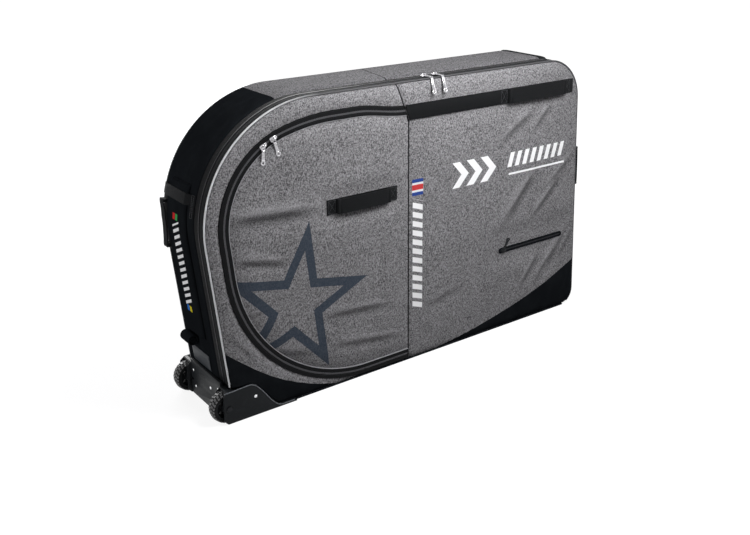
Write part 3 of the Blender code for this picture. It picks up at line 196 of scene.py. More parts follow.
class Outline:
    """A convex outline, anticlockwise from the front, measured by the distance run along it."""

    def __init__(self, corners: Sequence[Corner]) -> None:
        """Works out the round and straight runs between the corners.

        Args:
            corners: Its corners with their fillets, anticlockwise.
        """
        self.legs: list[Leg] = []
        arcs = [self._arc(corners, index) for index in range(len(corners))]
        for index, arc in enumerate(arcs):
            self.legs.append(arc)
            start = arc.at(arc.length)[0]
            end = arcs[(index + 1) % len(arcs)].start
            self.legs.append(Leg(start, (end - start).normalized(), (end - start).length))

    @staticmethod
    def _arc(corners: Sequence[Corner], index: int) -> Leg:
        """The fillet at one corner.

        Args:
            corners: All the corners.
            index: Which of them.

        Returns:
            The round run.
        """
        places = [Vector((corner.x, corner.z)) for corner in corners]
        here = places[index]
        before = (here - places[index - 1]).normalized()
        after = (places[(index + 1) % len(places)] - here).normalized()
        inward = Vector((-before.y, before.x))
        bisector = (inward + Vector((-after.y, after.x))) / (1 + before.dot(after))
        radius = corners[index].radius
        centre = here + bisector * radius
        turn = math.atan2(before.x * after.y - before.y * after.x, before.dot(after))
        return Leg(centre - inward * radius, before, turn * radius, centre, radius)

    def walk(self, start: float, end: float) -> Iterator[tuple[Leg, float, float]]:
        """Each run between two distances, with where it is entered and left.

        Args:
            start, end: Distances along the outline.

        Returns:
            Each run with two distances along it.
        """
        passed = 0.0
        for leg in self.legs:
            low = max(start - passed, 0.0)
            high = min(end - passed, leg.length)
            if high - low > TINY:
                yield leg, low, high
            passed += leg.length

    def at(self, distance: float) -> tuple[Vector, Vector]:
        """The point at a distance, and the direction into the outline there.

        Args:
            distance: How far along.

        Returns:
            The point and the direction.
        """
        for leg in self.legs:
            if distance <= leg.length:
                return leg.at(distance)
            distance -= leg.length
        return self.legs[-1].at(self.legs[-1].length)

    def locate(self, x: float, z: float) -> tuple[float, float]:
        """How far along the outline a point lies and how far inside it.

        Args:
            x, z: The point.

        Returns:
            The distance along and the inset, which is negative outside.
        """
        point = Vector((x, z))
        passed = 0.0
        best = (0.0, math.inf)
        for leg in self.legs:
            along, inset = leg.locate(point)
            if -TINY <= along <= leg.length + TINY and abs(inset) < abs(best[1]):
                best = (passed + along, inset)
            passed += leg.length
        return best

    def at_height(self, z: float, low: float, high: float) -> float:
        """The distance between two distances at which the outline has a height.

        Args:
            z: The height.
            low, high: Distances between which the outline only rises or only falls.
        """
        rises = self.at(high)[0].y > self.at(low)[0].y
        for _ in range(SEARCH_STEPS):
            middle = (low + high) / 2
            if (self.at(middle)[0].y < z) == rises:
                low = middle
            else:
                high = middle
        return low

    def start_of(self, leg: int) -> float:
        """The distance at which a run starts."""
        return sum(run.length for run in self.legs[:leg])

    def flat(self, distance: float, inset: float, y: float) -> Vector:
        """The 3-D point at a distance along, an inset and a depth.

        Args:
            distance, inset, y: Along it, into it and in depth.

        Returns:
            The point.
        """
        point, inward = self.at(distance)
        spot = point + inward * inset
        return Vector((spot.x, y, spot.y))


BAG = Outline([
    Corner(-0.5760, 0.0, 0.030),
    Corner(0.6355, 0.0, 0.045),
    Corner(0.6118, 0.794, 0.125),
    Corner(-0.6643, 0.794, 0.300),
])
FLAP = Outline([
    Corner(-0.0215, 0.022, 0.015),
    Corner(-0.0215, 0.738, 0.015),
    Corner(-0.3400, 0.738, 0.500),
    Corner(-0.6030, 0.667, 0.235),
    Corner(-0.5340, 0.022, 0.400),
])
TOE_ARC = 2
SHOULDER_END = 5
NOSE_ARC = 6
TOP_Z = 0.794
FLAP_LOW_Z = 0.022
FLAP_HIGH_Z = 0.738
FACE_Y = 0.120
PIPING_Y = 0.110
GROOVE = 0.0023
SEAM_X = -0.035
RIM_LOW_Z = 0.0935
TAPE_LOW_Z = 0.0905
WEBBING_FACE = 0.0028


def wheel_end(z: float) -> float:
    """The distance along the bag's outline at a height of the end with the wheels."""
    return BAG.at_height(z, BAG.start_of(NOSE_ARC), BAG.start_of(len(BAG.legs)))


def plain_end(z: float) -> float:
    """The distance along the bag's outline at a height of the end without wheels."""
    return BAG.at_height(z, BAG.start_of(TOE_ARC), BAG.start_of(SHOULDER_END))


class Shape:
    """A mesh in the making, shaped with bmesh operators."""

    def __init__(self) -> None:
        """Starts with nothing."""
        self.mesh = bmesh.new()

    @classmethod
    def of_node(cls, name: str) -> "Shape":
        """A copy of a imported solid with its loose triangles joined.

        Args:
            name: The solid's node.

        Returns:
            A shape of its own.
        """
        made = cls()
        made.mesh.from_mesh(frame["nodes"][name].data)
        bmesh.ops.remove_doubles(made.mesh, verts=made.mesh.verts, dist=MERGE_DISTANCE)
        bmesh.ops.dissolve_limit(
            made.mesh, angle_limit=FLAT_ANGLE, verts=made.mesh.verts, edges=made.mesh.edges)
        return made

    def bevelled(self, faces: Sequence[bmesh.types.BMFace], width: float, segments: int = 2) -> None:
        """Rounds the edges round some faces that meet at an angle.

        Args:
            faces: Whose edges.
            width, segments: The size of the round edge and its steps.
        """
        edges = {edge for face in faces for edge in face.edges if edge.is_manifold}
        sharp = [edge for edge in edges if edge.calc_face_angle(0.0) > BEVEL_ANGLE]
        bmesh.ops.bevel(
            self.mesh, geom=sharp, offset=width, offset_type="OFFSET", segments=segments,
            profile=0.5, affect="EDGES", material=-1, clamp_overlap=True)

    def block(self, size: Vector, place: Matrix) -> None:
        """Adds a plain block with its middle at a place."""
        bmesh.ops.create_cube(self.mesh, size=1, matrix=place @ Matrix.Diagonal((*size, 1)))

    def plate(self, points: Sequence[Vector], depth: Vector, bevel: float = 0.0, segments: int = 2) -> None:
        """Adds a flat plate of any outline, drawn out along a depth.

        Args:
            points: The outline, in order.
            depth: How far and which way.
            bevel, segments: The round edge, or 0 for none.
        """
        ring = [self.mesh.verts.new(point) for point in points]
        face = self.mesh.faces.new(ring)
        made = bmesh.ops.extrude_face_region(self.mesh, geom=[face])["geom"]
        moved = [item for item in made if isinstance(item, bmesh.types.BMVert)]
        bmesh.ops.translate(self.mesh, verts=moved, vec=depth)
        faces = list({face for vert in [*ring, *moved] for face in vert.link_faces})
        bmesh.ops.recalc_face_normals(self.mesh, faces=faces)
        if bevel:
            self.bevelled(faces, bevel, segments)

    def lathe(self, profile: Sequence[Point], centre: Vector, segments: int = 48) -> None:
        """Turns a closed profile of (radius, y) points about an axis along Y through a centre."""
        points = [Vector((centre.x + radius, y, centre.z)) for radius, y in profile]
        self.turned(points, centre, Vector((0, -1, 0)), segments)

    def turned(self, points: Sequence[Vector], centre: Vector, axis: Vector, segments: int) -> None:
        """Turns a closed ring of points once round an axis, into a closed piece of its own.

        Args:
            points: The ring, in order.
            centre, axis: A point of the axis and its direction.
            segments: How many steps the full turn has.
        """
        known = set(self.mesh.faces)
        ring = [self.mesh.verts.new(point) for point in points]
        edges = [self.mesh.edges.new(pair) for pair in zip(ring, [*ring[1:], ring[0]])]
        bmesh.ops.spin(
            self.mesh, geom=[*ring, *edges], cent=centre, axis=axis, dvec=(0, 0, 0),
            angle=FULL_TURN, steps=segments, use_merge=True, use_duplicate=False)
        fresh = [face for face in self.mesh.faces if face not in known]
        bmesh.ops.recalc_face_normals(self.mesh, faces=fresh)

    def disc(self, profile: Sequence[Point], centre: Vector, out: Vector, segments: int = 24) -> None:
        """Turns an open profile of (radius, height) points, from the axis outwards, about a direction.

        Args:
            profile: The (radius, height) points.
            centre, out: Where it sits and where it looks.
            segments: Steps of the full turn.
        """
        turn = Vector((0, 0, 1)).rotation_difference(out).to_matrix().to_4x4()
        place = Matrix.Translation(centre) @ turn
        ring = [self.mesh.verts.new(place @ Vector((radius, 0, height))) for radius, height in profile]
        edges = [self.mesh.edges.new(pair) for pair in zip(ring, ring[1:])]
        bmesh.ops.spin(
            self.mesh, geom=[*ring, *edges], cent=centre, axis=out, dvec=(0, 0, 0),
            angle=FULL_TURN, steps=segments, use_merge=True, use_duplicate=False)
        bmesh.ops.remove_doubles(self.mesh, verts=self.mesh.verts, dist=TINY)

    def tube(self, points: Sequence[Vector], radius: float, sides: int = 10, closed: bool = False) -> None:
        """Runs a round bar through points, with each ring square to the way it goes.

        Args:
            points: The middle of each ring.
            radius, sides: The bar's size.
            closed: True where the last ring meets the first.
        """
        count = len(points)
        rings = []
        normal = Vector((0, 0, 0))
        for index, point in enumerate(points):
            ahead = points[(index + 1) % count] if closed or index < count - 1 else point
            behind = points[index - 1] if closed or index else point
            way = (ahead - behind).normalized()
            normal = (normal - way * normal.dot(way)) if index else way.orthogonal()
            normal.normalize()
            made = bmesh.ops.create_circle(
                self.mesh, cap_ends=False, segments=sides, radius=radius,
                matrix=axes_at(point, normal, way))
            rings.append(list({edge for vert in made["verts"] for edge in vert.link_edges}))
        pairs = list(zip(rings, rings[1:]))
        if closed:
            pairs.append((rings[-1], rings[0]))
        for first, second in pairs:
            bmesh.ops.bridge_loops(self.mesh, edges=[*first, *second])
        if not closed:
            bmesh.ops.holes_fill(self.mesh, edges=[*rings[0], *rings[-1]], sides=sides)

    def sweep(
        self, outline: Outline, section: Sequence[Point], start: float, end: float, step: float,
    ) -> None:
        """Runs a closed section along part of an outline: extruded on straights, spun on rounds.

        Args:
            outline: What the section follows.
            section: Its corners as (inset, y) points.
            start, end: Distances along the outline.
            step: The longest stretch between two rings.
        """
        ring = [self.mesh.verts.new(outline.flat(start, inset, y)) for inset, y in section]
        loop = [self.mesh.edges.new(pair) for pair in zip(ring, [*ring[1:], ring[0]])]
        first = list(loop)
        for leg, low, high in outline.walk(start, end):
            steps = max(1, math.ceil((high - low) / step))
            if leg.centre is None:
                for _ in range(steps):
                    made = bmesh.ops.extrude_edge_only(self.mesh, edges=loop)["geom"]
                    moved = [item for item in made if isinstance(item, bmesh.types.BMVert)]
                    stride = leg.heading * (high - low) / steps
                    bmesh.ops.translate(self.mesh, verts=moved, vec=(stride.x, 0, stride.y))
                    edges = [item for item in made if isinstance(item, bmesh.types.BMEdge)]
                    loop = [edge for edge in edges if all(vert in moved for vert in edge.verts)]
            else:
                verts = list({vert for edge in loop for vert in edge.verts})
                made = bmesh.ops.spin(
                    self.mesh, geom=[*verts, *loop], cent=(leg.centre.x, 0, leg.centre.y), axis=(0, -1, 0),
                    dvec=(0, 0, 0), angle=(high - low) / leg.radius, steps=steps, use_duplicate=False)
                loop = [item for item in made["geom_last"] if isinstance(item, bmesh.types.BMEdge)]
        bmesh.ops.edgeloop_fill(self.mesh, edges=first)
        bmesh.ops.edgeloop_fill(self.mesh, edges=loop)
        bmesh.ops.recalc_face_normals(self.mesh, faces=self.mesh.faces)

    def grid(self, axis: Axis, cell: float) -> None:
        """Cuts every face by planes a cell apart, square to one axis.

        Args:
            axis: What the planes are square to.
            cell: About how far they are apart.
        """
        places = [vert.co[axis.value] for vert in self.mesh.verts]
        normal = Vector((0, 0, 0))
        normal[axis.value] = 1
        count = max(1, round((max(places) - min(places)) / cell))
        for index in range(1, count):
            point = normal * (min(places) + (max(places) - min(places)) * index / count)
            everything = [*self.mesh.verts, *self.mesh.edges, *self.mesh.faces]
            bmesh.ops.bisect_plane(self.mesh, geom=everything, dist=TINY, plane_co=point, plane_no=normal)

    def move(self, place_of: Callable[[Vector], Vector]) -> None:
        """Moves each vertex to where a function puts it."""
        for vert in self.mesh.verts:
            vert.co = place_of(vert.co)

    def line(self, is_inner: Callable[[Vector, Vector], bool]) -> None:
        """Marks the faces that the lining covers.

        Args:
            is_inner: Says so from a face's middle and its normal.
        """
        layer = self.mesh.faces.layers.float.new("lining")
        self.mesh.normal_update()
        for face in self.mesh.faces:
            face[layer] = 1.0 if is_inner(face.calc_center_median(), face.normal) else 0.0

    def unroll(self, outline: Outline, across: Axis | None) -> None:
        """Writes a map in metres: the distance along an outline, and the depth or else the inset.

        Args:
            outline: What the distance is measured along.
            across: The axis of the depth, or None for the inset.
        """
        layer = self.mesh.loops.layers.uv.new("UVMap")
        places = {vert: outline.locate(vert.co.x, vert.co.z) for vert in self.mesh.verts}
        for face in self.mesh.faces:
            for loop in face.loops:
                along, inset = places[loop.vert]
                loop[layer].uv = (along, inset if across is None else loop.vert.co[across.value])


@dataclass
class Piece:
    """How a finished shape takes its place in the bag."""

    name: str
    body: str
    finish: "bpy.types.Material"
    slot: str
    stands_for: Sequence[str] = ()
    fill: float | None = None
    angle: float = SMOOTH_ANGLE

    def put(self, shape: Shape) -> bpy.types.Object:
        """Turns the shape into an object that rides on its body.

        Args:
            shape: The finished shape, which is used up.

        Returns:
            The object.
        """
        data = bpy.data.meshes.new(self.name)
        shape.mesh.to_mesh(data)
        shape.mesh.free()
        data.shade_smooth()
        data.set_sharp_from_angle(angle=self.angle)
        data.materials.append(self.finish)
        made = bpy.data.objects.new(self.name, data)
        bpy.context.scene.collection.objects.link(made)
        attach(made, self.body)
        if self.stands_for:
            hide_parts(*self.stands_for)
        log.info("%s: %d faces on %s", self.name, len(data.polygons), self.body)
        return made


# Surface finishes

class Value:
    """A socket that varies over a surface and takes part in arithmetic."""

    def __init__(self, nodes: "Nodes", socket: bpy.types.NodeSocket) -> None:
        """Keeps the socket with the nodes that it belongs to."""
        self.nodes = nodes
        self.socket = socket

    def __add__(self, other: "Operand") -> "Value":
        """Adds another value."""
        return self.nodes.maths("ADD", self, other)

    def __sub__(self, other: "Operand") -> "Value":
        """Takes another value away."""
        return self.nodes.maths("SUBTRACT", self, other)

    def __rsub__(self, other: "Operand") -> "Value":
        """Takes this value away from a number."""
        return self.nodes.maths("SUBTRACT", other, self)

    def __mul__(self, other: "Operand") -> "Value":
        """Multiplies by another value."""
        return self.nodes.maths("MULTIPLY", self, other)

    def __mod__(self, other: "Operand") -> "Value":
        """What is left over after whole steps of another value, never negative."""
        return self.nodes.maths("FLOORED_MODULO", self, other)

    def __gt__(self, other: "Operand") -> "Value":
        """1 where this is the larger value, or else 0."""
        return self.nodes.maths("GREATER_THAN", self, other)

    def __lt__(self, other: "Operand") -> "Value":
        """1 where this is the smaller value, or else 0."""
        return self.nodes.maths("LESS_THAN", self, other)

    def __abs__(self) -> "Value":
        """The value without its sign."""
        return self.nodes.maths("ABSOLUTE", self)

    __radd__ = __add__
    __rmul__ = __mul__

    def sine(self, period: float) -> "Value":
        """A wave from -1 to 1 with this period."""
        return self.nodes.maths("SINE", self * (FULL_TURN / period))

    def between(self, low: float, high: float) -> "Value":
        """1 from low to high, or else 0."""
        return (self > low) * (self < high)


Operand = Value | float
Socket = Value | float | Colour | tuple[float, float, float, float]


class Nodes:
    """A node tree, and the one way in which nodes come into it."""

    def __init__(self, tree: bpy.types.NodeTree) -> None:
        """Keeps the tree."""
        self.tree = tree

    def node(
        self, kind: str, settings: Mapping[str, object] | None = None,
        inputs: Mapping[str | int, Socket] | None = None,
    ) -> bpy.types.Node:
        """Makes any node.

        Args:
            kind: The node's type.
            settings: Its properties, such as a Math node's operation.
            inputs: Values or links of its sockets, by name or index.

        Returns:
            The node.
        """
        made = self.tree.nodes.new(kind)
        for key, value in (settings or {}).items():
            setattr(made, key, value)
        for key, value in (inputs or {}).items():
            self.feed(made.inputs[key], value)
        return made

    def feed(self, socket: bpy.types.NodeSocket, value: Socket) -> None:
        """Links a value to a socket, or sets the socket's own number or colour.

        Args:
            socket: What takes the value.
            value: A link, a number, a colour or a vector.
        """
        if isinstance(value, Value):
            self.tree.links.new(value.socket, socket)
        elif isinstance(value, tuple) and len(value) == 3 and socket.type == "RGBA":
            socket.default_value = (*value, 1)
        else:
            socket.default_value = value

    def maths(self, operation: str, *operands: Operand) -> Value:
        """A Math node's result."""
        made = self.node("ShaderNodeMath", {"operation": operation}, dict(enumerate(operands)))
        return Value(self, made.outputs[0])


class Shader(Nodes):
    """One material's nodes."""

    def __init__(self, name: str) -> None:
        """Starts from a Principled shader.

        Args:
            name: The material's name.
        """
        self.material = bpy.data.materials.new(name)
        self.material.use_nodes = True
        super().__init__(self.material.node_tree)
        self.surface = self.tree.nodes["Principled BSDF"]

    def place(self) -> tuple[Value, Value, Value]:
        """The object coordinates, which are the frame's.

        Returns:
            Its three numbers.
        """
        coordinates = self.node("ShaderNodeTexCoord")
        parts = self.node("ShaderNodeSeparateXYZ", None, {0: Value(self, coordinates.outputs["Object"])})
        return tuple(Value(self, output) for output in parts.outputs)

    def unrolled(self) -> tuple[Value, Value]:
        """The piece's own map: the distance along it and the place across.

        Returns:
            Both, in metres.
        """
        made = self.node("ShaderNodeUVMap", {"uv_map": "UVMap"})
        parts = self.node("ShaderNodeSeparateXYZ", None, {0: Value(self, made.outputs[0])})
        return Value(self, parts.outputs[0]), Value(self, parts.outputs[1])

    def attribute(self, name: str) -> Value:
        """A number that the piece's mesh carries, or 0 where it has none."""
        made = self.node("ShaderNodeAttribute", {"attribute_name": name})
        return Value(self, made.outputs["Fac"])

    def lining(self) -> Value:
        """1 on the faces that the lining covers."""
        return self.attribute("lining")

    def noise(self, scales: Colour, detail: float = 2.0, roughness: float = 0.5) -> Value:
        """Noise from 0 to 1 with a number of cells in a metre along each axis.

        Args:
            scales: Cells in a metre.
            detail, roughness: The noise's own settings.

        Returns:
            The noise.
        """
        coordinates = self.node("ShaderNodeTexCoord")
        stretched = self.node("ShaderNodeMapping", {"vector_type": "POINT"}, {
            "Vector": Value(self, coordinates.outputs["Object"]), "Scale": scales})
        made = self.node("ShaderNodeTexNoise", {"noise_dimensions": "3D"}, {
            "Vector": Value(self, stretched.outputs[0]), "Scale": 1.0,
            "Detail": detail, "Roughness": roughness})
        return Value(self, made.outputs[0])

    def contrast(self, value: Value, low: float, high: float) -> Value:
        """Spreads the part of a value between low and high over 0 to 1."""
        made = self.node("ShaderNodeMapRange", {"clamp": True}, {
            "Value": value, "From Min": low, "From Max": high, "To Min": 0.0, "To Max": 1.0})
        return Value(self, made.outputs[0])

    def blend(self, factor: Operand, first: Socket, second: Socket) -> Value:
        """Mixes two colours."""
        made = self.node("ShaderNodeMix", {"data_type": "RGBA"}, {0: factor, 6: first, 7: second})
        return Value(self, made.outputs[2])

    def bump(self, height: Value, distance: float, strength: float = 1.0) -> None:
        """Raises the surface by a height of 0 to 1 times a distance."""
        made = self.node("ShaderNodeBump", None, {
            "Height": height, "Distance": distance, "Strength": strength})
        self.tree.links.new(made.outputs[0], self.surface.inputs["Normal"])

    def set(self, **inputs: Socket) -> bpy.types.Material:
        """Feeds the surface's own sockets, by name with underscores, and returns the material."""
        for key, value in inputs.items():
            self.feed(self.surface.inputs[key.replace("_", " ")], value)
        return self.material


LINING_GREY = srgb(58, 59, 64)


@dataclass(frozen=True)
class Stars:
    """A plain five-pointed star, drawn as a broad line."""

    centre: Point = (-0.395, 0.267)
    radius: float = 0.220
    line: float = 0.0235
    first_degrees: float = 79.0
    colour: Colour = srgb(48, 58, 71)
    cover: float = 0.9
    points: int = 5
    inner_share: float = 0.309

    def mask(self, shader: Shader) -> Value:
        """1 on the star's line: inside four or more of its five sides, less the same further in.

        Args:
            shader: Whose surface it is on.

        Returns:
            The mask.
        """
        x, _, z = shader.place()
        across = x - self.centre[0]
        up = z - self.centre[1]
        reach = self.radius * self.inner_share
        outside: Operand = 0.0
        within: Operand = 0.0
        for index in range(self.points):
            angle = math.radians(self.first_degrees) + FULL_TURN * index / self.points
            side = across * math.cos(angle) + up * math.sin(angle)
            outside = (side > reach) + outside
            within = (side > reach - self.line) + within
        return (outside < 1.5) * (within > 1.5)


@dataclass(frozen=True)
class Bars:
    """A row or column of slanted bars, all alike, in a rectangle of the face."""

    low: Point
    high: Point
    pitch: float
    filled_share: float
    slant: float = 0.0
    along: Axis = Axis.X
    up: Axis = Axis.Z
    chevron: bool = False
    colour: Colour = srgb(248, 248, 250)
    cover: float = 0.97

    @classmethod
    def patch(cls, low: Point, high: Point, up: Axis, colour: Colour) -> "Bars":
        """One plain rectangle whose length runs up the bag."""
        return cls(low, high, high[0] - low[0], 0.999, along=Axis.Z, up=up, colour=colour)

    def mask(self, shader: Shader) -> Value:
        """1 on the bars.

        Args:
            shader: Whose surface they are on.

        Returns:
            The mask.
        """
        parts = shader.place()
        along = parts[self.along.value]
        up = parts[self.up.value]
        middle = (self.low[1] + self.high[1]) / 2
        lean = abs(up - middle) if self.chevron else up - middle
        start = along + lean * self.slant
        inside = start.between(self.low[0], self.high[0]) * up.between(self.low[1], self.high[1])
        return inside * (((start - self.low[0]) % self.pitch) < self.pitch * self.filled_share)


Print = Stars | Bars


@dataclass(frozen=True)
class Heather:
    """Woven polyester of dark and light yarns, with prints on it."""

    name: str
    dark: Colour = srgb(60, 59, 61)
    light: Colour = srgb(160, 159, 162)
    along: Axis = Axis.Z
    yarn: float = 0.0015
    streak: float = 0.0058
    thread: float = 0.0011
    warp_share: float = 0.62
    fleck_low: float = 0.41
    fleck_high: float = 0.59
    # Width and colour of the painted shade line along the upright seam.
    seam: float = 0.0044
    seam_shade_colour: Colour = srgb(26, 26, 28)
    # Shares of painted shade in the creases' valleys and of painted highlight on their ridges.
    crease_shade_share: float = 0.58
    ridge_share: float = 0.44
    prints: tuple[Print, ...] = ()

    def make(self) -> bpy.types.Material:
        """The material: long flecks both ways, slow unevenness, a fine weave, painted shade in the creases and
        along the upright seam, painted highlights on the creases' ridges, and the prints.

        Returns:
            The material.
        """
        shader = Shader(self.name)
        fine, long = 1 / self.yarn, 1 / self.streak
        warp_scales = [fine, fine, fine]
        warp_scales[self.along.value] = long
        weft_scales = [long, long, long]
        weft_scales[self.along.value] = fine
        warp = shader.noise(tuple(warp_scales), 1.5, 0.6)
        weft = shader.noise(tuple(weft_scales), 1.5, 0.6)
        slow = shader.noise((9.0, 9.0, 9.0), 2.0)
        mixed = warp * self.warp_share + weft * (1 - self.warp_share)
        flecks = shader.contrast(mixed, self.fleck_low, self.fleck_high)
        shade = flecks * 0.88 + slow * 0.16 - 0.02
        colour = shader.blend(shader.contrast(shade, 0.0, 1.0), self.dark, self.light)
        rough: Operand = 0.92 - flecks * 0.06
        x, y, z = shader.place()
        weave = x.sine(self.thread) * z.sine(self.thread) + y.sine(self.thread) * 0.4
        height = weave * 0.3 + flecks * 0.7
        # Painted shade in the crease valleys and painted highlight on the crease ridges, from the crease depth
        # that each vertex carries.
        fold = shader.attribute("fold")
        colour = shader.blend(shader.contrast(fold, 0.03, 1.0) * self.crease_shade_share, colour, self.dark)
        colour = shader.blend(shader.contrast(0.0 - fold, 0.03, 0.6) * self.ridge_share, colour, self.light)
        # Painted shade: a dark line along the upright seam, for the shadow in the narrow gap between the panels;
        # on the front it follows the seam's lean.
        front = shader.contrast(0.0 - y, -0.10, 0.10)
        seam_x = shader.contrast(z, PADDING.lean_low_z, TOP_Z) * front * (-PADDING.lean) + SEAM_X
        colour = shader.blend((abs(x - seam_x) < self.seam / 2) * 0.9, colour, self.seam_shade_colour)
        outer = 1 - shader.lining()
        for layer in self.prints:
            mask = layer.mask(shader) * outer * layer.cover
            colour = shader.blend(mask, colour, layer.colour)
            rough = rough - mask * 0.35
            height = height * (1 - mask * 0.5)
        colour = shader.blend(outer, LINING_GREY, colour)
        shader.bump(height, 0.0003, 0.7)
        return shader.set(Base_Color=colour, Roughness=rough, Sheen_Weight=0.02, Specular_IOR_Level=0.05)


@dataclass(frozen=True)
class Cloth:
    """Dark plain-woven cloth with a dull shine, and prints where it has them."""

    name: str
    colour: Colour = srgb(22, 24, 27)
    thread: float = 0.0014
    worn: Colour = srgb(34, 37, 40)
    roughness: float = 0.72
    prints: tuple[Print, ...] = ()

    def make(self) -> bpy.types.Material:
        """The material: a basket weave in relief and slow rubbing marks.

        Returns:
            The material.
        """
        shader = Shader(self.name)
        x, y, z = shader.place()
        weave = (x + y * 0.5).sine(self.thread) * (z + y * 0.5).sine(self.thread)
        rubbed = shader.contrast(shader.noise((22.0, 22.0, 14.0), 4.0, 0.65), 0.42, 0.85)
        grain = shader.noise((900.0, 900.0, 900.0), 1.0)
        colour = shader.blend(rubbed * 0.6 + grain * 0.3, self.colour, self.worn)
        rough: Operand = grain * 0.12 + (self.roughness - 0.06)
        for layer in self.prints:
            mask = layer.mask(shader) * layer.cover
            colour = shader.blend(mask, colour, layer.colour)
        colour = shader.blend(shader.lining(), colour, LINING_GREY)
        shader.bump(weave * 0.5 + grain * 0.4, 0.0003, 0.6)
        return shader.set(Base_Color=colour, Roughness=rough, Specular_IOR_Level=0.0)


@dataclass(frozen=True)
class Webbing:
    """Heavy black webbing, whose ribs run along it."""

    name: str
    across: Axis
    colour: Colour = srgb(14, 15, 16)
    light: Colour = srgb(36, 37, 39)
    rib: float = 0.0026
    pick: float = 0.0013

    def make(self) -> bpy.types.Material:
        """The material: ribs along the strap, broken by the picks of its weave.

        Returns:
            The material.
        """
        shader = Shader(self.name)
        parts = shader.place()
        along = parts[(self.across.value + 1) % 3] + parts[(self.across.value + 2) % 3]
        across = parts[self.across.value]
        ribs = across.sine(self.rib) * 0.5 + 0.5
        picks = (along + across.sine(self.rib) * (self.pick / 4)).sine(self.pick) * 0.5 + 0.5
        fuzz = shader.noise((700.0, 700.0, 700.0), 2.0)
        height = ribs * 0.6 + picks * 0.25 + fuzz * 0.15
        colour = shader.blend(height * 0.7, self.colour, self.light)
        shader.bump(height, 0.0005, 0.7)
        return shader.set(Base_Color=colour, Roughness=0.78 - picks * 0.12, Specular_IOR_Level=0.05)


@dataclass(frozen=True)
class Tape:
    """Woven zip tape, unrolled along its zip, with rows of stitches and a light selvedge."""

    name: str
    rows: tuple[float, ...]
    edge: float | None = None
    edge_width: float = 0.0021
    colour: Colour = srgb(10, 10, 11)
    thread_colour: Colour = srgb(40, 41, 43)
    edge_colour: Colour = srgb(170, 170, 174)
    stitch: float = 0.0036
    stitch_share: float = 0.68
    stitch_width: float = 0.0007
    bone: float = 0.0018

    def make(self) -> bpy.types.Material:
        """The material: a herringbone, stitch rows at their places across, and the light edge.

        Returns:
            The material.
        """
        shader = Shader(self.name)
        along, across = shader.unrolled()
        zigzag = abs((across % (4 * self.bone)) - 2 * self.bone)
        bones = (along + zigzag).sine(self.bone) * 0.5 + 0.5
        colour = shader.blend(bones * 0.35, self.colour, self.thread_colour)
        height = bones * 0.3
        for row in self.rows:
            dash = (along % self.stitch) < self.stitch * self.stitch_share
            line = (abs(across - row) < self.stitch_width / 2) * dash
            colour = shader.blend(line * 0.8, colour, self.thread_colour)
            height = height + line
        if self.edge is not None:
            line = abs(across - self.edge) < self.edge_width / 2
            colour = shader.blend(line * 0.85, colour, self.edge_colour)
        shader.bump(height, 0.0004, 0.6)
        return shader.set(Base_Color=colour, Roughness=0.7 - bones * 0.1, Specular_IOR_Level=0.05)


@dataclass(frozen=True)
class Moulding:
    """A hard surface with a fine grain: moulded plastic, rubber or plated metal."""

    name: str
    colour: Colour
    # The lighter tone: wear on most finishes, painted highlight on the tyre's lugs.
    worn: Colour
    roughness: float
    metallic: float = 0.0
    grain: float = 1100.0
    relief: float = 0.00025
    scuff_share: float = 0.35
    specular: float = 0.10

    def make(self) -> bpy.types.Material:
        """The material: fine pitted grain, with scuffs that change its colour and shine; on the tyre's lugs the
        lighter tone is painted highlight.

        Returns:
            The material.
        """
        shader = Shader(self.name)
        grain = shader.noise((self.grain, self.grain, self.grain), 2.0, 0.6)
        scuffs = shader.contrast(shader.noise((60.0, 60.0, 90.0), 5.0, 0.7), 0.5, 0.75)
        colour = shader.blend(scuffs * self.scuff_share + grain * 0.15, self.colour, self.worn)
        rough = scuffs * 0.1 + grain * 0.1 + (self.roughness - 0.08)
        shader.bump(grain, self.relief, 0.6)
        return shader.set(Base_Color=colour, Roughness=rough, Metallic=self.metallic,
                          Specular_IOR_Level=self.specular)


@dataclass(frozen=True)
class Piping:
    """Reflective piping with a fine twill, and a painted reflection that is bright at the wheel end and fades
    towards the plain end.
    """

    name: str
    bright: Colour = srgb(226, 227, 230)
    dull: Colour = srgb(60, 60, 63)
    shade: Colour = srgb(24, 25, 27)
    bright_x: float = -0.50
    dull_x: float = -0.30
    twill: float = 0.0012
    stripe: float = 0.0036
    stripe_y: float = PIPING_Y + 0.0008

    def make(self) -> bpy.types.Material:
        """The material: a slanted twill, a change of shine along the bag with a painted reflection at its bright
        end, and painted shade on the cord's inner side.

        Returns:
            The material.
        """
        shader = Shader(self.name)
        x, y, z = shader.place()
        # Painted reflection: bright near the wheel end, fading to the dull colour towards the plain end.
        share = shader.contrast(x, self.bright_x, self.dull_x)
        twill = (x + y + z).sine(self.twill) * 0.5 + 0.5
        bright = shader.blend(twill * 0.25, self.bright, self.dull)
        colour = shader.blend(share, bright, self.dull)
        # Painted shade on the side of the cord that turns in towards the strip round the bag.
        colour = shader.blend(abs(abs(y) - self.stripe_y) > self.stripe / 2, colour, self.shade)
        shader.bump(twill, 0.0002, 0.5)
        return shader.set(Base_Color=colour, Roughness=0.42 + share * 0.25)


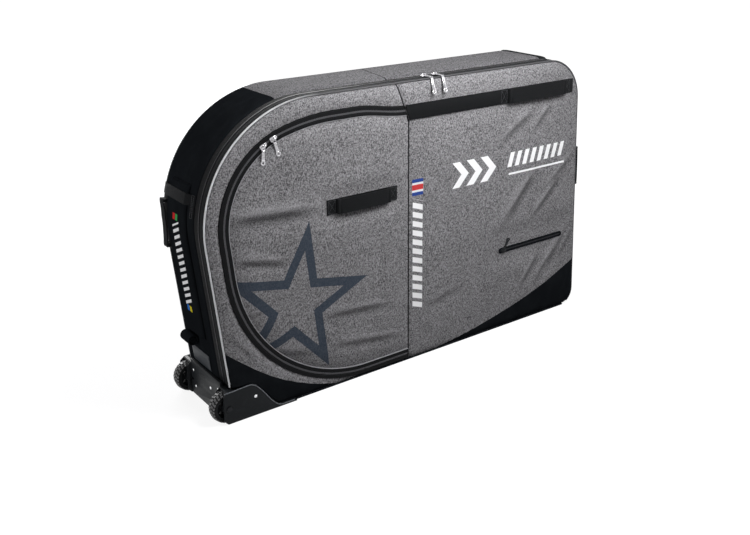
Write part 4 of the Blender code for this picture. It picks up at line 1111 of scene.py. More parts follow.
class Palette:
    """Every material of the bag, made once."""

    def __init__(self) -> None:
        """Makes the finishes from their settings."""
        banner = (
            Bars((0.145, 0.478), (0.300, 0.552), 0.052, 0.52, 0.9, chevron=True),
            Bars((0.325, 0.505), (0.560, 0.548), 0.0295, 0.56, -0.30),
            Bars((0.325, 0.481), (0.560, 0.487), 0.235, 0.98),
        )
        column = (
            Bars((0.155, -0.0225), (0.470, 0.0105), 0.0262, 0.60, 0.35, along=Axis.Z, up=Axis.X),
            Bars.patch((0.482, -0.0245), (0.528, 0.0115), Axis.X, srgb(40, 66, 140)),
            Bars.patch((0.4915, -0.0245), (0.5185, 0.0115), Axis.X, srgb(226, 228, 232)),
            Bars.patch((0.4975, -0.0245), (0.5125, 0.0115), Axis.X, srgb(196, 44, 46)),
        )
        self.grey = Heather("heathered_grey").make()
        self.grey_flap = Heather("heathered_grey_flap", prints=(Stars(),)).make()
        self.grey_right = Heather("heathered_grey_right", prints=(*banner, *column)).make()
        # A darker copy of the grey heather: painted shade on the bag's top strip, to offset the stronger light
        # that falls on it.
        self.grey_top_shaded = Heather("heathered_grey_top", srgb(46, 45, 47), srgb(128, 127, 130), Axis.Y).make()
        self.black = Cloth("black_cloth").make()
        self.lining = Cloth("lining_cloth", srgb(44, 45, 49), 0.0018, srgb(62, 63, 68), 0.8).make()
        self.webbing_level = Webbing("webbing_level", Axis.Z).make()
        self.webbing_upright = Webbing("webbing_upright", Axis.Y).make()
        self.webbing_cross = Webbing("webbing_cross", Axis.X).make()
        self.plastic = Moulding("moulded_plastic", srgb(23, 25, 27), srgb(41, 43, 46), 0.48).make()
        self.teeth = Moulding("zip_teeth", srgb(40, 40, 43), srgb(58, 58, 61), 0.36, relief=0.00004).make()
        self.flap_teeth = Moulding("flap_zip_teeth", srgb(84, 84, 87), srgb(104, 104, 107), 0.32,
                                   relief=0.00004).make()
        self.rubber = Moulding("tyre_rubber", srgb(13, 13, 14), srgb(26, 26, 27), 0.62).make()
        # Lug colours far lighter than the tyre's rubber, mostly in the lighter tone: painted highlights on the
        # tread's lugs.
        self.lugs = Moulding("lug_rubber_painted_highlight", srgb(56, 56, 57), srgb(124, 124, 126), 0.40, scuff_share=0.9,
                             specular=0.5).make()
        self.steel = Moulding(
            "zinc_steel", srgb(216, 217, 219), srgb(180, 181, 184), 0.30, 1.0, 800.0, 0.00003,
            specular=0.5).make()
        self.nickel = Moulding(
            "bright_nickel", srgb(186, 185, 188), srgb(100, 99, 102), 0.22, 1.0, 500.0, 0.00001, 0.6,
            specular=0.5).make()
        self.piping = Piping("reflective_piping").make()
        script = (
            Bars((0.285, -0.003), (0.500, 0.033), 0.0175, 0.50, 0.45, along=Axis.Z, up=Axis.Y),
            Bars.patch((0.262, 0.004), (0.278, 0.016), Axis.Y, srgb(216, 200, 40)),
            Bars.patch((0.262, 0.018), (0.278, 0.030), Axis.Y, srgb(60, 120, 205)),
            Bars.patch((0.508, 0.004), (0.524, 0.016), Axis.Y, srgb(70, 160, 90)),
            Bars.patch((0.508, 0.018), (0.524, 0.030), Axis.Y, srgb(205, 50, 50)),
        )
        self.sleeve = Cloth("sleeve_cloth", prints=script).make()
        self.thread = Cloth("black_thread", srgb(70, 71, 74), 0.0006, srgb(100, 101, 104), 0.5).make()
        self.slate = Moulding("slate_plastic", srgb(33, 37, 42), srgb(52, 57, 63), 0.38, grain=600.0,
                              relief=0.0001).make()
        self.lip = Moulding("lip_plastic", srgb(104, 107, 112), srgb(128, 130, 134), 0.42).make()
        self.black_steel = Moulding("black_steel", srgb(30, 31, 33), srgb(60, 61, 64), 0.35, 0.6, 800.0,
                                    0.00003).make()


# Padding of the two faces

@dataclass(frozen=True)
class Crease:
    """A soft groove, with a ridge beside it, that the cloth has along a line of the face."""

    start: Point
    end: Point
    width: float
    depth: float
    ridge_share: float = 0.55

    def at(self, x: float, z: float) -> float:
        """How deep the groove is at a point; below zero on the ridge beside it.

        Args:
            x, z: The point.

        Returns:
            The depth in metres.
        """
        start = Vector(self.start)
        run = Vector(self.end) - start
        away = Vector((x, z)) - start
        along = clamped(away.dot(run) / run.length_squared)
        side = (run.x * away.y - run.y * away.x) / run.length
        distance = (away - run * along).length
        fade = ease(along, 0.0, 0.3) * ease(1 - along, 0.0, 0.3) * 0.75 + 0.25
        ridge = bell(side - 1.5 * self.width, self.width) * bell(distance - abs(side), self.width)
        return self.depth * fade * (bell(distance, self.width) - self.ridge_share * ridge)


@dataclass(frozen=True)
class Padding:
    """How the foam and cloth of a face rise and fall from its flat plane, outwards in metres."""

    side_roll: float = 0.026
    top_roll: float = 0.052
    roll_depth: float = 0.0098
    puff: float = 0.0058
    seam_width: float = 0.0075
    seam_depth: float = 0.0034
    least_wall: float = 0.0015
    flap_edge: float = 0.0144
    fold_strength: float = 2.0
    pucker: float = 0.0010
    pucker_length: float = 0.031
    slip: float = 0.0175
    lean: float = 0.037
    lean_low_z: float = 0.690
    # The crease depth that gives the full painted shade in the heather.
    crease_shade_depth: float = 0.0034
    creases: tuple[Crease, ...] = (
        Crease((0.300, 0.575), (0.425, 0.655), 0.0130, 0.0028),
        Crease((0.425, 0.590), (0.500, 0.668), 0.0110, 0.0026),
        Crease((0.318, 0.325), (0.440, 0.465), 0.0160, 0.0036),
        Crease((0.436, 0.322), (0.560, 0.445), 0.0120, 0.0034),
        Crease((0.480, 0.405), (0.600, 0.495), 0.0100, 0.0028),
        Crease((0.500, 0.140), (0.590, 0.262), 0.0115, 0.0034),
        Crease((0.552, 0.165), (0.620, 0.258), 0.0090, 0.0030),
        Crease((0.390, 0.105), (0.470, 0.205), 0.0110, 0.0028),
        Crease((0.450, 0.105), (0.540, 0.218), 0.0090, 0.0028),
        Crease((-0.580, 0.512), (-0.335, 0.498), 0.0150, 0.0038),
        Crease((-0.578, 0.415), (-0.420, 0.379), 0.0105, 0.0028),
        Crease((-0.556, 0.262), (-0.490, 0.268), 0.0065, 0.0022),
        Crease((-0.490, 0.150), (-0.365, 0.117), 0.0110, 0.0024),
        Crease((-0.315, 0.202), (-0.100, 0.184), 0.0120, 0.0024),
        Crease((-0.295, 0.114), (-0.080, 0.084), 0.0110, 0.0022),
        Crease((-0.595, 0.242), (-0.520, 0.146), 0.0065, 0.0022),
        Crease((0.020, 0.140), (0.150, 0.170), 0.0120, 0.0016),
    )
    fixtures: tuple[tuple[Point, Point], ...] = (
        ((-0.300, 0.482), (-0.074, 0.527)),
        ((-0.030, 0.690), (0.600, 0.740)),
        ((0.290, 0.232), (0.575, 0.292)),
    )

    def roll(self, x: float, z: float) -> float:
        """How far the face has rolled back at a point near the bag's edge.

        Args:
            x, z: The point.

        Returns:
            The depth in metres.
        """
        inset = BAG.locate(x, z)[1] - GROOVE
        width = self.side_roll + (self.top_roll - self.side_roll) * ease(z, 0.60, 0.77)
        share = clamped(1 - inset / width)
        return self.roll_depth * (1 - math.sqrt(1 - share * share))

    def seams(self, x: float, z: float) -> float:
        """How deep the upright seam and the edges beside the flap's zip lie at a point.

        Args:
            x, z: The point.

        Returns:
            The depth in metres.
        """
        valley = self.seam_depth * bell(x - SEAM_X, self.seam_width)
        edge = abs(abs(FLAP.locate(x, z)[1]) - self.flap_edge)
        if x < SEAM_X + self.seam_width:
            valley = max(valley, self.seam_depth * bell(edge, self.seam_width))
        return valley

    def front(self, x: float, z: float) -> float:
        """The front face's rise at a point: the foam puffs up between its seams and fixtures.

        Args:
            x, z: The point.

        Returns:
            The rise in metres.
        """
        inset = BAG.locate(x, z)[1]
        room = ease(inset, 0.01, 0.11)
        if x < 0.03:
            room *= ease(abs(FLAP.locate(x, z)[1]), 0.012, 0.060)
        room *= ease(abs(x - SEAM_X), 0.004, 0.060)
        for low, high in self.fixtures:
            room *= ease(box_distance(x, z, low, high), 0.0, 0.045)
        slow = noise.noise(Vector((x * 5.2, 0.3, z * 5.2)))
        ripple = noise.noise(Vector((x * 17, 4.1, z * 15)))
        fold = self.fold_strength * sum(crease.at(x, z) for crease in self.creases)
        return room * (self.puff * (0.78 + 0.35 * slow) + 0.0007 * ripple) - fold * (0.35 + 0.65 * room) + (
            self.puckers(x, z))

    def puckers(self, x: float, z: float) -> float:
        """The small gathers that the thread draws beside the piping and beside the flap's zip.

        Args:
            x, z: The point.

        Returns:
            The rise in metres.
        """
        gathers = 0.0
        for outline, reach in ((BAG, 0.034), (FLAP, 0.040)):
            along, inset = outline.locate(x, z)
            if abs(inset) < 2 * reach:
                drift = noise.noise(Vector((along * 7, reach * 90, 0.6)))
                strength = 0.5 + noise.noise(Vector((along * 5, 3.3, reach * 70)))
                wave = math.sin(FULL_TURN * along / self.pucker_length + 5 * drift)
                gathers += self.pucker * strength * wave * bell(abs(inset) - 0.5 * reach, 0.5 * reach)
        return gathers * ease(abs(x - SEAM_X), 0.01, 0.05)

    def rear(self, x: float, z: float) -> float:
        """The rear face's rise at a point: one plain crowned pad.

        Args:
            x, z: The point.

        Returns:
            The rise in metres.
        """
        room = ease(BAG.locate(x, z)[1], 0.01, 0.16)
        slow = noise.noise(Vector((x * 4.1, 7.7, z * 4.4)))
        ripple = noise.noise(Vector((x * 14, 2.3, z * 13)))
        return room * (0.0068 + 0.0026 * slow + 0.0009 * ripple)

    def slipped(self, co: Vector) -> Vector:
        """Lets the flap's upper edge sag beside the seam, and the seam lean over it.

        Args:
            co: A point of the face.

        Returns:
            Where it goes.
        """
        if co.y > -0.5 * FACE_Y:
            return co
        sag = ease(co.x, -0.20, -0.030) * ease(-co.x, 0.033, 0.0345)
        sag *= ease(co.z, 0.60, 0.712) * ease(TOP_Z - co.z, 0.004, 0.044)
        z = co.z - self.slip * sag
        lean = clamped((z - self.lean_low_z) / (TOP_Z - self.lean_low_z))
        return Vector((co.x - self.lean * lean * bell(co.x - SEAM_X, 0.12), co.y, z))

    def shape(self, shape: Shape, side: int) -> None:
        """Gives a flat padded solid its rise, its rolled edge and its seams, and stores each point's crease depth
        for the painted crease shade.

        Args:
            shape: The solid, cut into a grid.
            side: -1 at the front and 1 at the rear.
        """
        rise = self.front if side < 0 else self.rear
        # The fold layer carries each vertex's crease depth, which the heather paints as shade in the valleys and
        # highlight on the ridges.
        layer = shape.mesh.verts.layers.float.new("fold")
        for vert in shape.mesh.verts:
            folds = sum(crease.at(vert.co.x, vert.co.z) for crease in self.creases) if side < 0 else 0.0
            vert[layer] = folds / self.crease_shade_depth

        def place(co: Vector) -> Vector:
            """Where a point of the flat solid goes."""
            seam = self.seams(co.x, co.z) if side < 0 else 0.0
            face = FACE_Y - self.roll(co.x, co.z) - seam + rise(co.x, co.z)
            if side * co.y < PIPING_Y + TINY:
                face = min(PIPING_Y, face - self.least_wall)
            return self.slipped(Vector((co.x, side * face, co.z)))

        shape.move(place)


PADDING = Padding()


@dataclass(frozen=True)
class Faces:
    """The padded panels and the black corner patches of both faces."""

    cell: float = 0.0065

    def build(self, palette: Palette) -> None:
        """Builds the four panels and four patches from their solids' outlines.

        Args:
            palette: The bag's materials.
        """
        rows = (
            ("left_panel", "front_cover", palette.grey, "grey_fabric", -1),
            ("right_panel", "front_cover", palette.grey_right, "grey_fabric", -1),
            ("flap_panel", "pocket_flap", palette.grey_flap, "grey_fabric", -1),
            ("left_corner_patch", "front_cover", palette.black, "black_fabric", -1),
            ("right_corner_patch", "front_cover", palette.black, "black_fabric", -1),
            ("rear_panel", "bag_body", palette.grey, "grey_fabric", 1),
            ("rear_left_patch", "bag_body", palette.black, "black_fabric", 1),
            ("rear_right_patch", "bag_body", palette.black, "black_fabric", 1),
        )
        for node, body, finish, slot, side in rows:
            shape = Shape.of_node(node)
            shape.grid(Axis.X, self.cell)
            shape.grid(Axis.Z, self.cell)
            PADDING.shape(shape, side)
            shape.line(lambda middle, normal: abs(middle.y) < PIPING_Y + TINY and normal.y * side < -0.5)
            Piece("padded_" + node, body, finish, slot, (node,), fill=0.5).put(shape)


@dataclass(frozen=True)
class Gusset:
    """The padded strip round the bag, in its colours, with the strap across its top."""

    front_y: float = -0.0566
    rear_y: float = 0.1077
    crown: float = 0.006
    wall: float = 0.006
    ramp: float = 0.016
    rows: int = 26
    step: float = 0.012
    sag: float = 0.0012

    def height(self, y: float) -> float:
        """How far the strip stands out at a depth."""
        edge = min(y - self.front_y, self.rear_y - y)
        return self.crown * quarter_round(clamped(edge / self.ramp))

    def section(self, extra: float = 0.0) -> list[Point]:
        """The strip's section: crowned outside, plain inside."""
        outer = [(-self.height(y) - extra, y) for y in bunched(self.front_y, self.rear_y, self.rows)]
        return [*outer, (self.wall, self.rear_y), (self.wall, self.front_y)]

    def build(self, palette: Palette) -> None:
        """Builds the four lengths of the strip between the same places as their solids.

        Args:
            palette: The bag's materials.
        """
        rows = (
            ("right_gusset", palette.black, "black_fabric", 0.0),
            ("gusset_strap", palette.webbing_cross, "black_webbing", 0.0016),
            # The top strip takes the darker copy of the heather, painted shade on the bag's top.
            ("top_gusset", palette.grey_top_shaded, "grey_fabric", 0.0),
            ("nose_gusset", palette.black, "black_fabric", 0.0),
        )
        starts, ends = self.places()
        for (node, finish, slot, extra), start, end in zip(rows, starts, ends):
            shape = Shape()
            shape.sweep(BAG, self.section(extra), start, end, self.step)
            shape.unroll(BAG, Axis.Y)
            if not extra:
                shape.move(self.slack)
            shape.line(lambda middle, normal: BAG.locate(middle.x, middle.z)[1] > self.wall - 0.001)
            Piece("padded_" + node, "bag_body", finish, slot, (node,), fill=0.4).put(shape)

    def places(self) -> tuple[list[float], list[float]]:
        """Where each length starts and ends along the bag, from the solids' boxes.

        Returns:
            The starts and the ends, from the plain end on.
        """
        low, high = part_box("gusset_strap")
        right, left = BAG.locate(high.x, TOP_Z)[0], BAG.locate(low.x, TOP_Z)[0]
        bottom = plain_end(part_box("right_gusset")[0].z + self.crown / 2)
        nose = BAG.locate(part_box("top_gusset")[0].x, TOP_Z)[0]
        end = wheel_end(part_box("nose_gusset")[0].z)
        gap = 0.0004
        return [bottom, right, left + gap, nose + gap], [right - gap, left, nose, end]

    def slack(self, co: Vector) -> Vector:
        """Lets the cloth hang a little between its seams, in slow waves.

        Args:
            co: A point of the strip.

        Returns:
            Where it goes.
        """
        along, inset = BAG.locate(co.x, co.z)
        if inset > -0.001:
            return co
        wave = noise.noise(Vector((along * 16, co.y * 22, 1.7)))
        slow = noise.noise(Vector((along * 5, co.y * 9, 5.1)))
        dip = self.sag * (0.5 + 0.5 * wave) + self.sag * 0.8 * (0.5 + 0.5 * slow)
        inward = BAG.at(along)[1]
        share = min(1.0, -inset / self.crown)
        return co + Vector((inward.x, 0, inward.y)) * dip * share


@dataclass(frozen=True)
class Teeth:
    """A row of moulded teeth along a zip."""

    pitch: float = 0.0034
    length: float = 0.0030
    width: float = 0.0019
    height: float = 0.0016

    def add(
        self, shape: Shape, outline: Outline, start: float, end: float, root: Vector, side: int,
        on_edge: bool,
    ) -> None:
        """Adds teeth to a shape.

        Args:
            shape: What takes the teeth.
            outline: The line that the chain follows.
            start, end: Distances along it.
            root: The inset, the depth and the offset of the tooth's middle from the chain.
            side: Which half of the zip, 1 or -1; the other half's teeth lie between these.
            on_edge: True where the teeth stand out of the outline, and False where they look to -Y.
        """
        inset, depth, offset = root
        count = int((end - start) / self.pitch)
        size = Vector((self.width, self.length, self.height))
        shift = 0.5 if side > 0 else 0.0
        for index in range(count):
            place, inward = outline.at(start + (index + shift) * self.pitch)
            along = Vector((inward.y, 0, -inward.x))
            out = Vector((-inward.x, 0, -inward.y)) if on_edge else Vector((0, -1, 0))
            spot = place + inward * (inset + (0.0 if on_edge else offset))
            middle = Vector((spot.x, depth + (offset if on_edge else 0.0), spot.y))
            shape.block(size, axes_at(middle, along, out))


@dataclass(frozen=True)
class MainZip:
    """The main zip: the cover's strip, the body's tape and the chain of teeth."""

    front_y: float = -0.1077
    chain_y: float = -0.0827
    body_y: float = -0.0819
    rear_y: float = -0.0569
    low_z: float = 0.0064
    wall: float = 0.003
    step: float = 0.014
    crown: float = 0.0012
    tape_steps: int = 8
    teeth: Teeth = Teeth()

    def ends(self, node: str) -> tuple[float, float]:
        """Where a strip starts on the plain end and ends on the wheel end."""
        return plain_end(self.low_z), wheel_end(RIM_LOW_Z if node == "zip_rim" else TAPE_LOW_Z)

    def tape(self, edge: float, chain: float) -> list[Point]:
        """A tape's section: a low crown from its sewn edge to its chain.

        Args:
            edge, chain: The depths of both sides.

        Returns:
            Its (inset, y) points.
        """
        outer = []
        for step in range(self.tape_steps + 1):
            share = step / self.tape_steps
            rise = self.crown * math.sin(math.pi * share) ** 0.7 if 0 < share < 1 else 0.0
            outer.append((-rise, edge + (chain - edge) * share))
        return [*outer, (self.wall, chain), (self.wall, edge)]

    def build(self, palette: Palette, tapes: tuple[bpy.types.Material, bpy.types.Material]) -> None:
        """Builds both tapes and both rows of teeth.

        Args:
            palette: The bag's materials.
            tapes: The finishes of the cover's tape and the body's.
        """
        rows = (
            ("zip_rim", "front_cover", self.front_y, self.chain_y, tapes[0], -1),
            ("body_zip_tape", "bag_body", self.rear_y, self.body_y, tapes[1], 1),
        )
        for node, body, edge, chain, finish, side in rows:
            start, end = self.ends(node)
            shape = Shape()
            shape.sweep(BAG, self.tape(edge, chain), start, end, self.step)
            shape.unroll(BAG, Axis.Y)
            Piece(node + "_cloth", body, finish, "zip_tape", (node,)).put(shape)
            chain_shape = Shape()
            middle = (self.chain_y + self.body_y) / 2
            root = Vector((-self.teeth.height / 2 - 0.0004, middle, side * 0.0009))
            self.teeth.add(chain_shape, BAG, start + 0.002, end - 0.002, root, side, True)
            Piece(node + "_teeth", body, palette.teeth, "zip_tape", angle=TOOTH_ANGLE).put(chain_shape)


@dataclass(frozen=True)
class SeamPiping:
    """The cord of piping in each seam between a face and the strip round the bag."""

    radius: float = 0.0023
    sides: int = 10
    low_z: float = 0.0067

    def build(self, palette: Palette) -> None:
        """Builds each cord.

        Args:
            palette: The bag's materials.
        """
        rows = (
            ("front_piping", -PIPING_Y, "front_cover", RIM_LOW_Z),
            ("rear_piping", PIPING_Y, "bag_body", TAPE_LOW_Z),
        )
        start = plain_end(self.low_z)
        for node, y, body, left_low in rows:
            end = wheel_end(left_low)
            section = []
            for side in range(self.sides):
                angle = FULL_TURN * side / self.sides
                section.append((self.radius * math.cos(angle) - 0.0004, y + self.radius * math.sin(angle)))
            shape = Shape()
            shape.sweep(BAG, section, start, end, 0.010)
            Piece(node + "_cord", body, palette.piping, "piping", (node,)).put(shape)


@dataclass(frozen=True)
class FlapZip:
    """The zip round the wheel pocket's flap: two broad tapes and their teeth."""

    width: float = 0.0141
    back_y: float = -0.1120
    face_y: float = -0.1186
    chain_gap: float = 0.0003
    reach: float = 0.0068
    step: float = 0.012
    crown: float = 0.0008
    tape_steps: int = 6
    teeth: Teeth = Teeth(pitch=0.0032, length=0.0036, width=0.0019, height=0.0016)

    def ends(self) -> tuple[float, float]:
        """Where the zip starts at the top and ends at the bottom."""
        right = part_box("flap_zip_tape")[1].x
        return FLAP.locate(right, FLAP_HIGH_Z)[0], FLAP.locate(right, FLAP_LOW_Z)[0]

    def tape(self, way: int) -> list[Point]:
        """One tape's section, from the chain to its sewn edge.

        Args:
            way: 1 inside the flap's outline, -1 outside.

        Returns:
            Its (inset, y) points.
        """
        near, far = way * self.chain_gap, way * self.width
        outer = []
        for step in range(self.tape_steps + 1):
            share = step / self.tape_steps
            outer.append((far + (near - far) * share, self.face_y - self.crown * math.sin(math.pi * share)))
        return [*outer, (near, self.back_y), (far, self.back_y)]

    def build(self, palette: Palette, tapes: tuple[bpy.types.Material, bpy.types.Material]) -> None:
        """Builds both tapes and both rows of teeth.

        Args:
            palette: The bag's materials.
            tapes: The finishes of the flap's tape and the cover's.
        """
        start, end = self.ends()
        rows = (
            ("flap_zip_tape", "pocket_flap", 1, tapes[0]),
            ("cover_zip_tape", "front_cover", -1, tapes[1]),
        )
        for node, body, way, finish in rows:
            shape = Shape()
            shape.sweep(FLAP, self.tape(way), start - self.reach, end + self.reach, self.step)
            shape.unroll(FLAP, None)
            shape.move(PADDING.slipped)
            Piece(node + "_cloth", body, finish, "zip_tape", (node,)).put(shape)
            chain = Shape()
            root = Vector((0.0, self.face_y - 0.0004, way * 0.0008))
            self.teeth.add(chain, FLAP, start - self.reach, end + self.reach, root, way, False)
            chain.move(PADDING.slipped)
            Piece(node + "_teeth", body, palette.flap_teeth, "zip_tape", angle=TOOTH_ANGLE).put(chain)


# Parts on the wheel end

@dataclass(frozen=True)
class Layer:
    """Something that lies on the padded strip: from one depth to another, between two heights."""

    front: float
    rear: float
    low_z: float
    high_z: float
    thickness: float
    round_width: float = 0.006
    thin_share: float = 0.12
    rows: int = 16
    step: float = 0.006
    seat: float = 0.0003

    def rise(self, reach: float) -> float:
        """The share of the thickness at a distance from an edge."""
        return max(self.thin_share, quarter_round(clamped(reach / self.round_width)))

    def shape(self, strip: Gusset, distance_of: Callable[[float], float]) -> Shape:
        """The layer with rounded edges and ends.

        Args:
            strip: What it lies on.
            distance_of: The place along the outline at a height.
        """
        under = [(-strip.height(y) - self.seat, y) for y in bunched(self.front, self.rear, self.rows)]
        outer = []
        for inset, y in reversed(under):
            outer.append((inset - self.rise(min(y - self.front, self.rear - y)) * self.thickness, y))
        start, end = sorted((distance_of(self.low_z), distance_of(self.high_z)))
        made = Shape()
        made.sweep(BAG, [*under, *outer], start, end, self.step)

        def place(co: Vector) -> Vector:
            """Rounds the layer's ends down to the strip."""
            along, inset = BAG.locate(co.x, co.z)
            floor = -strip.height(min(max(co.y, self.front), self.rear)) - self.seat
            rise = (floor - inset) * self.rise(min(along - start, end - along))
            return BAG.flat(along, floor - rise, co.y)

        made.move(place)
        return made


@dataclass(frozen=True)
class Stitching:
    """Rows of thread that stand on a surface."""

    length: float = 0.0030
    gap: float = 0.0013
    width: float = 0.0007
    height: float = 0.0005

    def row(self, shape: Shape, start: Vector, end: Vector, out: Vector) -> None:
        """Adds a straight row of stitches between two points.

        Args:
            shape: What takes them.
            start, end: The row's ends.
            out: Where the surface looks.
        """
        run = end - start
        count = max(1, round(run.length / (self.length + self.gap)))
        along = run.normalized()
        size = Vector((self.length, self.width, self.height))
        for index in range(count):
            shape.block(size, axes_at(start + run * (index + 0.5) / count, along, out))

    def crossed_box(self, shape: Shape, corners: Sequence[Vector], out: Vector) -> None:
        """Adds the usual sewn box with a cross in it, through four corners in order.

        Args:
            shape: What takes them.
            corners: The four corners.
            out: Where the surface looks.
        """
        for start, end in zip(corners, [*corners[1:], corners[0]]):
            self.row(shape, start, end, out)
        self.row(shape, corners[0], corners[2], out)
        self.row(shape, corners[1], corners[3], out)


@dataclass(frozen=True)
class WheelEnd:
    """The padded sleeve, its strap and patch, the rolled fold and the skid."""

    strip: Gusset = Gusset()
    sleeve_thickness: float = 0.009
    strap_bevel: float = 0.0007
    fold_wall: float = 0.0045
    fold_edge: float = 0.0012
    fold_gap: float = 0.0010
    stitching: Stitching = Stitching()

    def build(self, palette: Palette) -> None:
        """Builds them all from their solids' boxes.

        Args:
            palette: The bag's materials.
        """
        low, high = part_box("end_sleeve")
        sleeve = Layer(low.y, high.y, 0.1955, 0.5995, self.sleeve_thickness, round_width=0.010)
        shape = sleeve.shape(self.strip, wheel_end)
        shape.move(self.quilt)
        Piece("padded_end_sleeve", "bag_body", palette.sleeve, "black_fabric", ("end_sleeve",),
              fill=0.5).put(shape)
        for node in ("cross_strap", "strap_patch"):
            shape = Shape.of_node(node)
            shape.bevelled(shape.mesh.faces, self.strap_bevel)
            Piece(node + "_webbing", "bag_body", palette.webbing_level, "black_webbing", (node,)).put(shape)
        self.patch_stitches(palette)
        self.fold(palette)
        low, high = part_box("end_skid")
        skid = Layer(low.y, high.y, low.z, high.z, 0.002, round_width=0.003)
        Piece("end_skid_plate", "bag_body", palette.slate, "moulded_plastic", ("end_skid",)).put(
            skid.shape(self.strip, wheel_end))

    def quilt(self, co: Vector) -> Vector:
        """Lets the sleeve's padding rise and fall a little along its length.

        Args:
            co: A point of the sleeve.

        Returns:
            Where it goes.
        """
        along, inset = BAG.locate(co.x, co.z)
        wave = noise.noise(Vector((along * 24, co.y * 30, 8.2)))
        if inset > -0.008:
            return co
        return BAG.flat(along, inset - 0.0012 * wave, co.y)

    def patch_stitches(self, palette: Palette) -> None:
        """Sews the strap's patch down with a box and a cross.

        Args:
            palette: The bag's materials.
        """
        low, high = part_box("strap_patch")
        edge = 0.0022
        shape = Shape()
        places = []
        for z, y in ((low.z, low.y), (low.z, high.y), (high.z, high.y), (high.z, low.y)):
            z += edge if z == low.z else -edge
            y += edge if y == low.y else -edge
            places.append(BAG.flat(wheel_end(z), -self.strip.height(y) - WEBBING_FACE, y))
        out = (places[1] - places[0]).cross(places[3] - places[0]).normalized()
        out = out if out.x < 0 else -out
        self.stitching.crossed_box(shape, places, out)
        Piece("strap_patch_stitches", "bag_body", palette.thread, "black_webbing").put(shape)

    def fold(self, palette: Palette) -> None:
        """Rolls the fold under the sleeve, from two turns of padded cloth.

        Args:
            palette: The bag's materials.
        """
        low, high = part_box("sleeve_fold")
        centre = (low + high) / 2
        radius = (high.x - low.x) / 2
        shape = Shape()
        edge = self.fold_edge
        for outer in (radius, radius - self.fold_wall - self.fold_gap):
            wall = self.fold_wall if outer == radius else outer - edge
            profile = [
                (outer, low.y + edge), (outer, high.y - edge), (outer - edge, high.y),
                (outer - wall + edge, high.y), (outer - wall, high.y - edge),
                (outer - wall, low.y + edge), (outer - wall + edge, low.y), (outer - edge, low.y),
            ]
            shape.lathe(profile, centre, 40)
        Piece("sleeve_fold_roll", "bag_body", palette.black, "black_fabric", ("sleeve_fold",)).put(shape)


@dataclass(frozen=True)
class Housing:
    """The moulded corner housing with its lips and its rivets."""

    bevel: float = 0.0009
    end_x: float = -0.600
    crest_x: float = -0.540
    fall_end_x: float = -0.447
    toe_x: float = -0.412
    end_height: float = 0.0880
    crest_height: float = 0.0905
    toe_height: float = 0.0070
    side_y: float = 0.1244
    lip_radius: float = 0.0013
    lip_steps: int = 44
    rivet_radius: float = 0.0042
    rivets: tuple[Vector, ...] = (Vector((-0.524, -0.1244, 0.054)), Vector((-0.524, 0.1244, 0.054)))
    end_rivets: tuple[Point, ...] = ((0.070, 0.070), (0.060, 0.028), (-0.028, 0.060), (-0.070, 0.074))

    def height(self, x: float) -> float:
        """The height of the cheek's wavy edge.

        Args:
            x: The place along the bag.

        Returns:
            The height in metres.
        """
        if x < self.crest_x:
            swing = (1 - math.cos(math.pi * (x - self.end_x) / (self.crest_x - self.end_x))) / 2
            return self.end_height + (self.crest_height - self.end_height) * swing
        share = min(1.0, (x - self.crest_x) / (self.fall_end_x - self.crest_x))
        return self.toe_height + (self.crest_height - self.toe_height) * (1 + math.cos(math.pi * share)) / 2

    def build(self, palette: Palette) -> None:
        """Builds the moulding, its lips and rivets.

        Args:
            palette: The bag's materials.
        """
        shape = Shape.of_node("corner_housing")
        shape.bevelled(shape.mesh.faces, self.bevel)
        Piece("corner_housing_moulding", "bag_body", palette.plastic, "moulded_plastic",
              ("corner_housing",)).put(shape)
        lips = Shape()
        for side in (-1, 1):
            points = []
            start = self.end_x + (0.004 if side > 0 else -0.010)
            for step in range(self.lip_steps + 1):
                x = start + (self.toe_x - start) * step / self.lip_steps
                z = self.height(max(x, self.end_x)) - self.lip_radius * 0.9
                points.append(Vector((x, side * (self.side_y - self.lip_radius * 0.25), z)))
            lips.tube(points, self.lip_radius, 8)
        Piece("corner_housing_lips", "bag_body", palette.lip, "moulded_plastic").put(lips)
        rivets = Shape()
        for place in self.rivets:
            self.rivet(rivets, place, Vector((0, math.copysign(1, place.y), 0)))
        for y, z in self.end_rivets:
            self.rivet(rivets, Vector((self.end_x, y, z)), Vector((-1, 0, 0)))
        Piece("corner_housing_rivets", "bag_body", palette.steel, "steel").put(rivets)

    def rivet(self, shape: Shape, place: Vector, out: Vector) -> None:
        """Adds a domed rivet head with its washer.

        Args:
            shape: What takes it.
            place, out: Where it sits and where it looks.
        """
        radius = self.rivet_radius
        profile = [(0.0, 0.0016), (radius * 0.4, 0.00145), (radius * 0.62, 0.0011), (radius * 0.72, 0.0006)]
        profile += [(radius * 0.95, 0.0005), (radius, 0.0003), (radius, -0.0005)]
        shape.disc(profile, place, out, 20)


